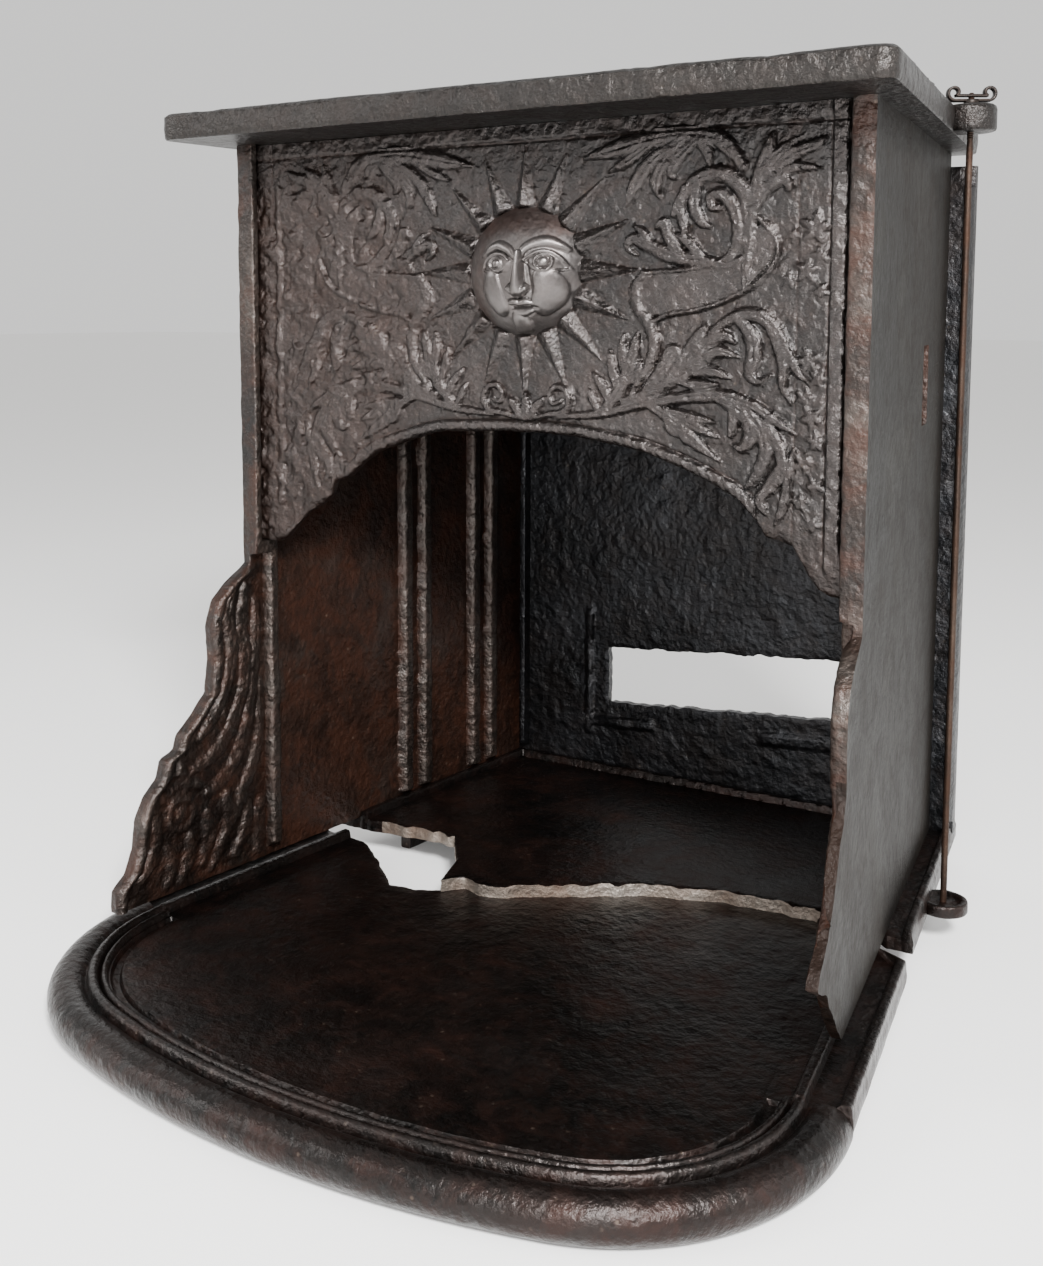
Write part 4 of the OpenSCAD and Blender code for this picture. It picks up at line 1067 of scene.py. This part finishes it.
h = 1.9 * rough(here, 14, 11, 2) + 0.5 * rough(here, 60, 5, 1)
# what is left of the slot's frame: an upright bar, two low bars and a shallow rebate
from_slot = x - SLOT_X[0]
left_bar = (smooth_step(-30, -27, from_slot) * smooth_step(-18, -21, from_slot)
            * smooth_step(40, 46, z0) * smooth_step(196, 188, z0))
low_bar = smooth_step(52, 55, z0) * smooth_step(66, 63, z0) * (
    smooth_step(-30, -27, from_slot) * smooth_step(-60, -70, x)
    + smooth_step(60, 72, x) * smooth_step(196, 190, x))
h = h + 3.6 * np.clip(left_bar + low_bar, 0, 1) * (1 + 0.2 * rough(here, 12, 8))
rebate = (smooth_step(-22, -20, from_slot) * smooth_step(1, -1, from_slot)
          * smooth_step(SLOT_Z - 8, SLOT_Z - 5, z0)
          * smooth_step(SLOT_Z + SLOT_H + 8, SLOT_Z + SLOT_H + 5, z0))
h = h - 2.0 * rebate
for at in (272.8, 235.8):
    bar = (bar_profile(np.abs(x) - at, power=4) ** 0.5 * smooth_step(12, 16, z)
           * smooth_step(670, 664, z))
    h = np.maximum(h, 10 * bar * (1 + 0.1 * rough(here * np.array([1, 1, 0.6]), 13, 28)))
rim = np.minimum(np.minimum(x + BACK_HALF, BACK_HALF - x), np.minimum(z, BACK_H - z))
h = h - 1.2 * np.exp(-rim / 1.5) - 0.9 * np.exp(-np.maximum(gap, 0) / 1.5)
drop_faces(bm, uv, lambda m: (
    (np.abs(knots(m[:, 0], *COLUMNS) - BACK_HALF - sum(SLOT_X) / 2) < SLOT_W / 2)
    & (np.abs(knots(m[:, 1], *ROWS) - SLOT_Z - SLOT_H / 2) < SLOT_H / 2)))
send(bm.verts, np.stack([x, BACK_Y - h, z], 1))
# painted highlight in part: the bars and the slot's edges are marked lighter, for rubbing and for the light
# they catch
paint(bm, "wear_and_highlight", np.clip(h / 10 + 0.5 * near_slot, 0, 1))
paint(bm, "rust", np.clip(0.25 * rough(here, 70, 2) + 0.35 * smooth_step(520, 620, z), 0, 0.6))
close_back(bm, (0, BACK_Y + BACK_T, 0), (0, 1, 0), steps=4, ragged=0.6)
finish_piece(bm, "back_casting", BACK_IRON, replaces=["back_plate"])

# %% [markdown]
# ## The top plate
# A thick slab with worn, rounded edges lies over the plates and hangs over the front. Its middle is
# thinned from below, as founders did to save iron. Two sheets of points, one for each face, meet along
# a rim that is extruded from the upper one.

# %% Build the top plate
TOP_FRONT, TOP_BACK, TOP_R = -70.0, (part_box("top_plate")[1].y - FRONT_Y) / MM, 14.0
TOP_Z = SIDE_H + TOP_T


def slab(uv):
    """places on the slab's outline, its corners rounded, and the distance in from the edge"""
    y = TOP_FRONT + uv[:, 1] * (TOP_BACK - TOP_FRONT)
    half = side_line(0, y)
    sx, sy = uv[:, 0] * 2 - 1, uv[:, 1] * 2 - 1
    x = sx * half
    mid_y, half_y = (TOP_FRONT + TOP_BACK) / 2, (TOP_BACK - TOP_FRONT) / 2
    a = np.clip((np.abs(x) - half + TOP_R) / TOP_R, 0, None)
    b = np.clip((np.abs(y - mid_y) - half_y + TOP_R) / TOP_R, 0, None)
    both = (a > 0) & (b > 0)
    ra, rb = a * np.sqrt(1 - b ** 2 / 2), b * np.sqrt(1 - a ** 2 / 2)
    x = np.where(both, np.sign(x) * (half - TOP_R + ra * TOP_R), x)
    y = np.where(both, mid_y + np.sign(y - mid_y) * (half_y - TOP_R + rb * TOP_R), y)
    from_sides = np.minimum(half - np.abs(sx * half), half_y - np.abs(sy * half_y))
    inset = np.where(both, TOP_R - TOP_R * np.hypot(ra, rb), from_sides)
    return x, y, np.clip(inset, 0, None)


NOMINAL_L = 522
ACROSS = ([0, 4, 14, 32, 568, 586, 596, NOMINAL_W], [4, 4, 5, 118, 5, 4, 4])
ALONG = ([0, 4, 14, 124, 138, 470, 484, 508, 518, NOMINAL_L], [4, 4, 26, 5, 64, 5, 6, 4, 4])
TOP_GRID = (144, 122)
RIM_LAYERS = ("out_x", "out_y", "base_x", "base_y")


def spread(uv):
    """draws the grid's lines together at the slab's edges and round its thinned part"""
    return np.stack([knots(uv[:, 0], *ACROSS) / NOMINAL_W, knots(uv[:, 1], *ALONG) / NOMINAL_L], 1)


bm, uv = new_grid(*TOP_GRID)
x, y, inset = slab(spread(uv))
here = np.stack([x, y, x * 0 + TOP_Z], 1)
chip = np.minimum(0, rough(here, 17, 71) + 0.18) * np.exp(-inset / 7) * 5
z = (TOP_Z - 0.3 - 2.8 * np.clip(1 - inset / 5, 0, 1) ** 2 + chip + 0.35 * rough(here, 9, 81)
     + 0.5 * rough(here, 80, 61, 1))
send(bm.verts, np.stack([x, y, np.minimum(z, TOP_Z)], 1))
# painted highlight in part: the rounded edges and the rim below them are marked lighter, for rubbed iron and
# for the light they catch
paint(bm, "wear_and_highlight", np.clip(np.exp(-inset / 3) * 0.7, 0, 1))
paint(bm, "rust", np.clip(0.4 * rough(here, 60, 6), 0, 0.5))
# the rim goes down in six rough steps, a little fuller in the middle of its height
core = np.stack([np.clip(x, -side_line(TOP_R, y), side_line(TOP_R, y)),
                 np.clip(y, TOP_FRONT + TOP_R, TOP_BACK - TOP_R)], 1)
outward = np.stack([x, y], 1) - core
outward = outward / np.maximum(np.hypot(*outward.T), 0.01)[:, None]
for name, values in zip(RIM_LAYERS, (outward[:, 0], outward[:, 1], x, y)):
    paint(bm, name, values)
layers = [bm.verts.layers.float[name] for name in RIM_LAYERS]
rim = [e for e in bm.edges if e.is_boundary]
for full, level in ((0.6, 0.86), (0.9, 0.66), (1.0, 0.42), (0.7, 0.2), (0.1, 0.05), (-1.0, 0.0)):
    made = bmesh.ops.extrude_edge_only(bm, edges=rim)["geom"]
    verts = [g for g in made if isinstance(g, bmesh.types.BMVert)]
    rim = [g for g in made if isinstance(g, bmesh.types.BMEdge)]
    stored = np.array([[v[layer] for layer in layers] for v in verts])
    places = np.stack([stored[:, 2], stored[:, 3], np.full(len(verts), SIDE_H + TOP_T * level)], 1)
    lumps = rough(places, 9, 15) * 1.1 + 0.8 * np.minimum(0, rough(places, 20, 35) + 0.1) * 3
    bulge = full + lumps * (level > 0)
    places[:, :2] += stored[:, :2] * bulge[:, None]
    send(verts, places)
for name in RIM_LAYERS:
    bm.verts.layers.float.remove(bm.verts.layers.float[name])
sheet = bmesh.ops.create_grid(bm, x_segments=TOP_GRID[0], y_segments=TOP_GRID[1], size=0.5)["verts"]
under = np.array([v.co[:2] for v in sheet]) + 0.5
x, y, inset = slab(spread(under))
thin = 14 * smooth_step(30, 33, side_line(0, y) - np.abs(x)) * smooth_step(58, 62, y) * smooth_step(410, 405, y)
here = np.stack([x, y, x * 0 + SIDE_H], 1)
flat = 0.4 * rough(here, 12, 51) * smooth_step(0, 6, inset)
send(sheet, np.stack([x, y, SIDE_H + thin + np.abs(flat)], 1))
sheet = set(sheet)
edge_verts = [v for v in bm.verts if v.is_boundary]
upper = [v for v in edge_verts if v not in sheet]
lower = [v for v in edge_verts if v in sheet]
tree = KDTree(len(upper))
for n, v in enumerate(upper):
    tree.insert(v.co, n)
tree.balance()
for v in lower:
    v.co = tree.find(v.co)[0]
bmesh.ops.remove_doubles(bm, verts=edge_verts, dist=0.02 * MM)
finish_piece(bm, "top_casting", TOP_IRON, replaces=["top_plate"])

# %% [markdown]
# ## Ears, screw rods and scroll nuts
# The plates are drawn together by two long iron rods. Each rod's button sits under a dished ear of the
# hearth, and its thread passes an ear of the top plate to a nut with two curled arms for the fingers.
# Turned shapes are spun from a profile, and the nut's strap is swept along its curl.

# %% Turned and swept shapes
ROD_Y = 266.0
ROD_X = (REACH + 36.0 - ROD_Y * math.sin(SPLAY)) / math.cos(SPLAY)
print("rod at x", round(ROD_X, 2))


def turned(profile, at, steps=48, lumps=0.15, seed=1):
    """spins a profile of (radius, z) about the upright line through at (x, y)"""
    bm = bmesh.new()
    verts = [bm.verts.new((r * MM, 0, z * MM)) for r, z in profile]
    edges = [bm.edges.new(pair) for pair in zip(verts, verts[1:])]
    bmesh.ops.spin(bm, geom=verts + edges, cent=(0, 0, 0), axis=(0, 0, 1), dvec=(0, 0, 0), angle=2 * math.pi,
                   steps=steps, use_merge=True)
    bmesh.ops.remove_doubles(bm, verts=bm.verts, dist=0.005 * MM)
    here = np.array([v.co for v in bm.verts]) / MM + np.array([at[0], at[1], 0])
    out = here[:, :2] - np.array(at)
    radius = np.hypot(*out.T)
    out = out / np.maximum(radius, 0.01)[:, None] * (radius > 1)[:, None]
    bumps = rough(here, 7, seed) * lumps
    send(bm.verts, np.column_stack([here[:, :2] + out * bumps[:, None], here[:, 2] + 0.3 * bumps]))
    paint(bm, "wear_and_highlight", 0.35 + 0.8 * rough(here, 10, seed + 3))
    paint(bm, "rust", np.clip(0.5 * rough(here, 25, seed + 5), 0, 0.6))
    return bm


def swept(path, wide, section):
    """sweeps a closed section of (across, up) along a path; wide is the direction of across"""
    n, m = len(path), len(section)
    bm, uv = new_grid(m, n - 1)
    i, j = np.rint(uv[:, 0] * m).astype(int) % m, np.rint(uv[:, 1] * (n - 1)).astype(int)
    along = np.gradient(path, axis=0)
    along = along / np.linalg.norm(along, axis=1)[:, None]
    up = np.cross(along, wide)
    places = path[j] + np.outer(section[i, 0], wide) + up[j] * section[i, 1][:, None]
    places = places + 0.12 * rough(places, 5, 3)[:, None] * up[j]
    send(bm.verts, places)
    paint(bm, "wear_and_highlight", 0.4 + rough(places, 9, 8))
    paint(bm, "rust", np.clip(0.4 * rough(places, 20, 6), 0, 0.5))
    bmesh.ops.remove_doubles(bm, verts=bm.verts, dist=0.01 * MM)
    bmesh.ops.triangle_fill(bm, use_beauty=True, use_dissolve=False,
                            edges=[e for e in bm.edges if e.is_boundary])
    return bm


def round_bar(width, height, r, steps=4):
    """a rectangle with rounded corners, as (across, up)"""
    points = []
    for cx, cy, a0 in ((1, 1, 0), (-1, 1, 90), (-1, -1, 180), (1, -1, 270)):
        for n in range(steps):
            a = math.radians(a0 + 90 * n / (steps - 1))
            points.append((cx * (width / 2 - r) + r * math.cos(a), cy * (height / 2 - r) + r * math.sin(a)))
    return np.array(points)


# %% Ears, rods, nuts and the ribs under the hearth
EAR_LOW = [(0, -11.8), (20, -11.8), (21.4, -11.2), (22, -9.8), (22, -2.4), (21.4, -0.8), (20, -0.2),
           (17.5, -0.3), (15.6, -1.2), (14.4, -2.6), (12, -3.2), (6, -3.3), (0, -3.3)]
EAR_TOP = [(0, 700.3), (19.5, 700.3), (21.2, 701), (22, 703), (22, 719), (21.2, 722), (19.5, 723.3),
           (10, 723.6), (0, 723.6)]
thread = [(3.05 if n % 2 else 2.45, 694 + n * 0.9) for n in range(43)]
ROD = ([(0, -16), (6.8, -16), (7.8, -15.3), (8, -14), (7.6, -12.6), (6.5, -12), (3.0, -12)]
       + [(3.0, z) for z in range(-6, 694, 14)] + thread + [(2.3, 733.6), (1.4, 734.4), (0, 734.5)])
HUB = [(0, 724.2), (6.2, 724.2), (6.6, 724.8), (6.5, 727.6), (5.8, 728.6), (3.6, 728.9), (0, 728.9)]
# the strap is flat over the hub, and each end curls in on itself with a shrinking radius
CURL_POINTS = 46
STRAP_Z = 724.9 + 2.0
curl = np.radians(np.linspace(-90, 250, CURL_POINTS))
shrink = np.linspace(6.6, 2.6, CURL_POINTS)
arm = np.stack([15 + shrink * np.cos(curl), 7.4 + shrink * np.sin(curl)], 1)
half = np.vstack([[(x, 0.8) for x in np.linspace(0, 14, 10)], arm])
strap = np.vstack([half[::-1] * np.array([-1, 1]), half[1:]])
# the nuts stand turned by this much at rest
turn = math.radians(31)
for side, which in ((-1, "left"), (1, "right")):
    at = (side * ROD_X, ROD_Y)
    finish_piece(turned(EAR_LOW, at, 64, 0.5, 3), f"{which}_hearth_ear", HEARTH_IRON)
    finish_piece(turned(EAR_TOP, at, 64, 0.6, 9), f"{which}_top_ear", TOP_IRON)
    finish_piece(turned(ROD, at, 20, 0.22, 5), f"{which}_rod", ROD_IRON,
                 replaces=[f"{which}_screw_rod"])
    wide = np.array([-math.sin(turn) * side, math.cos(turn), 0])
    path = np.stack([side * ROD_X + strap[:, 0] * math.cos(turn) * side, ROD_Y + strap[:, 0] * math.sin(turn),
                     STRAP_Z + strap[:, 1]], 1)
    finish_piece(swept(path, wide, round_bar(7.0, 2.6, 0.8)), f"{which}_nut_scrolls", NUT_IRON,
                 body=f"{which}_nut", replaces=[f"{which}_scroll_nut"])
    finish_piece(turned(HUB, at, 32, 0.15, 8), f"{which}_nut_hub", NUT_IRON, body=f"{which}_nut")
    for part, y0, y1, top_z in (("front", -100, 60, -26.2), ("rear", 190, 430, -13.2)):
        y = np.linspace(y0, y1, 40)
        x = side * (HALF_W - 37) - side * y * math.tan(SPLAY)
        low = FLOOR_Z + 0.1
        path = np.stack([x, y, np.full(len(y), (low + top_z) / 2)], 1)
        finish_piece(swept(path, np.array([1.0, 0, 0]), round_bar(12.0, top_z - low + 0.4, 2.0)),
                     f"{which}_{part}_under_rib", HEARTH_IRON)
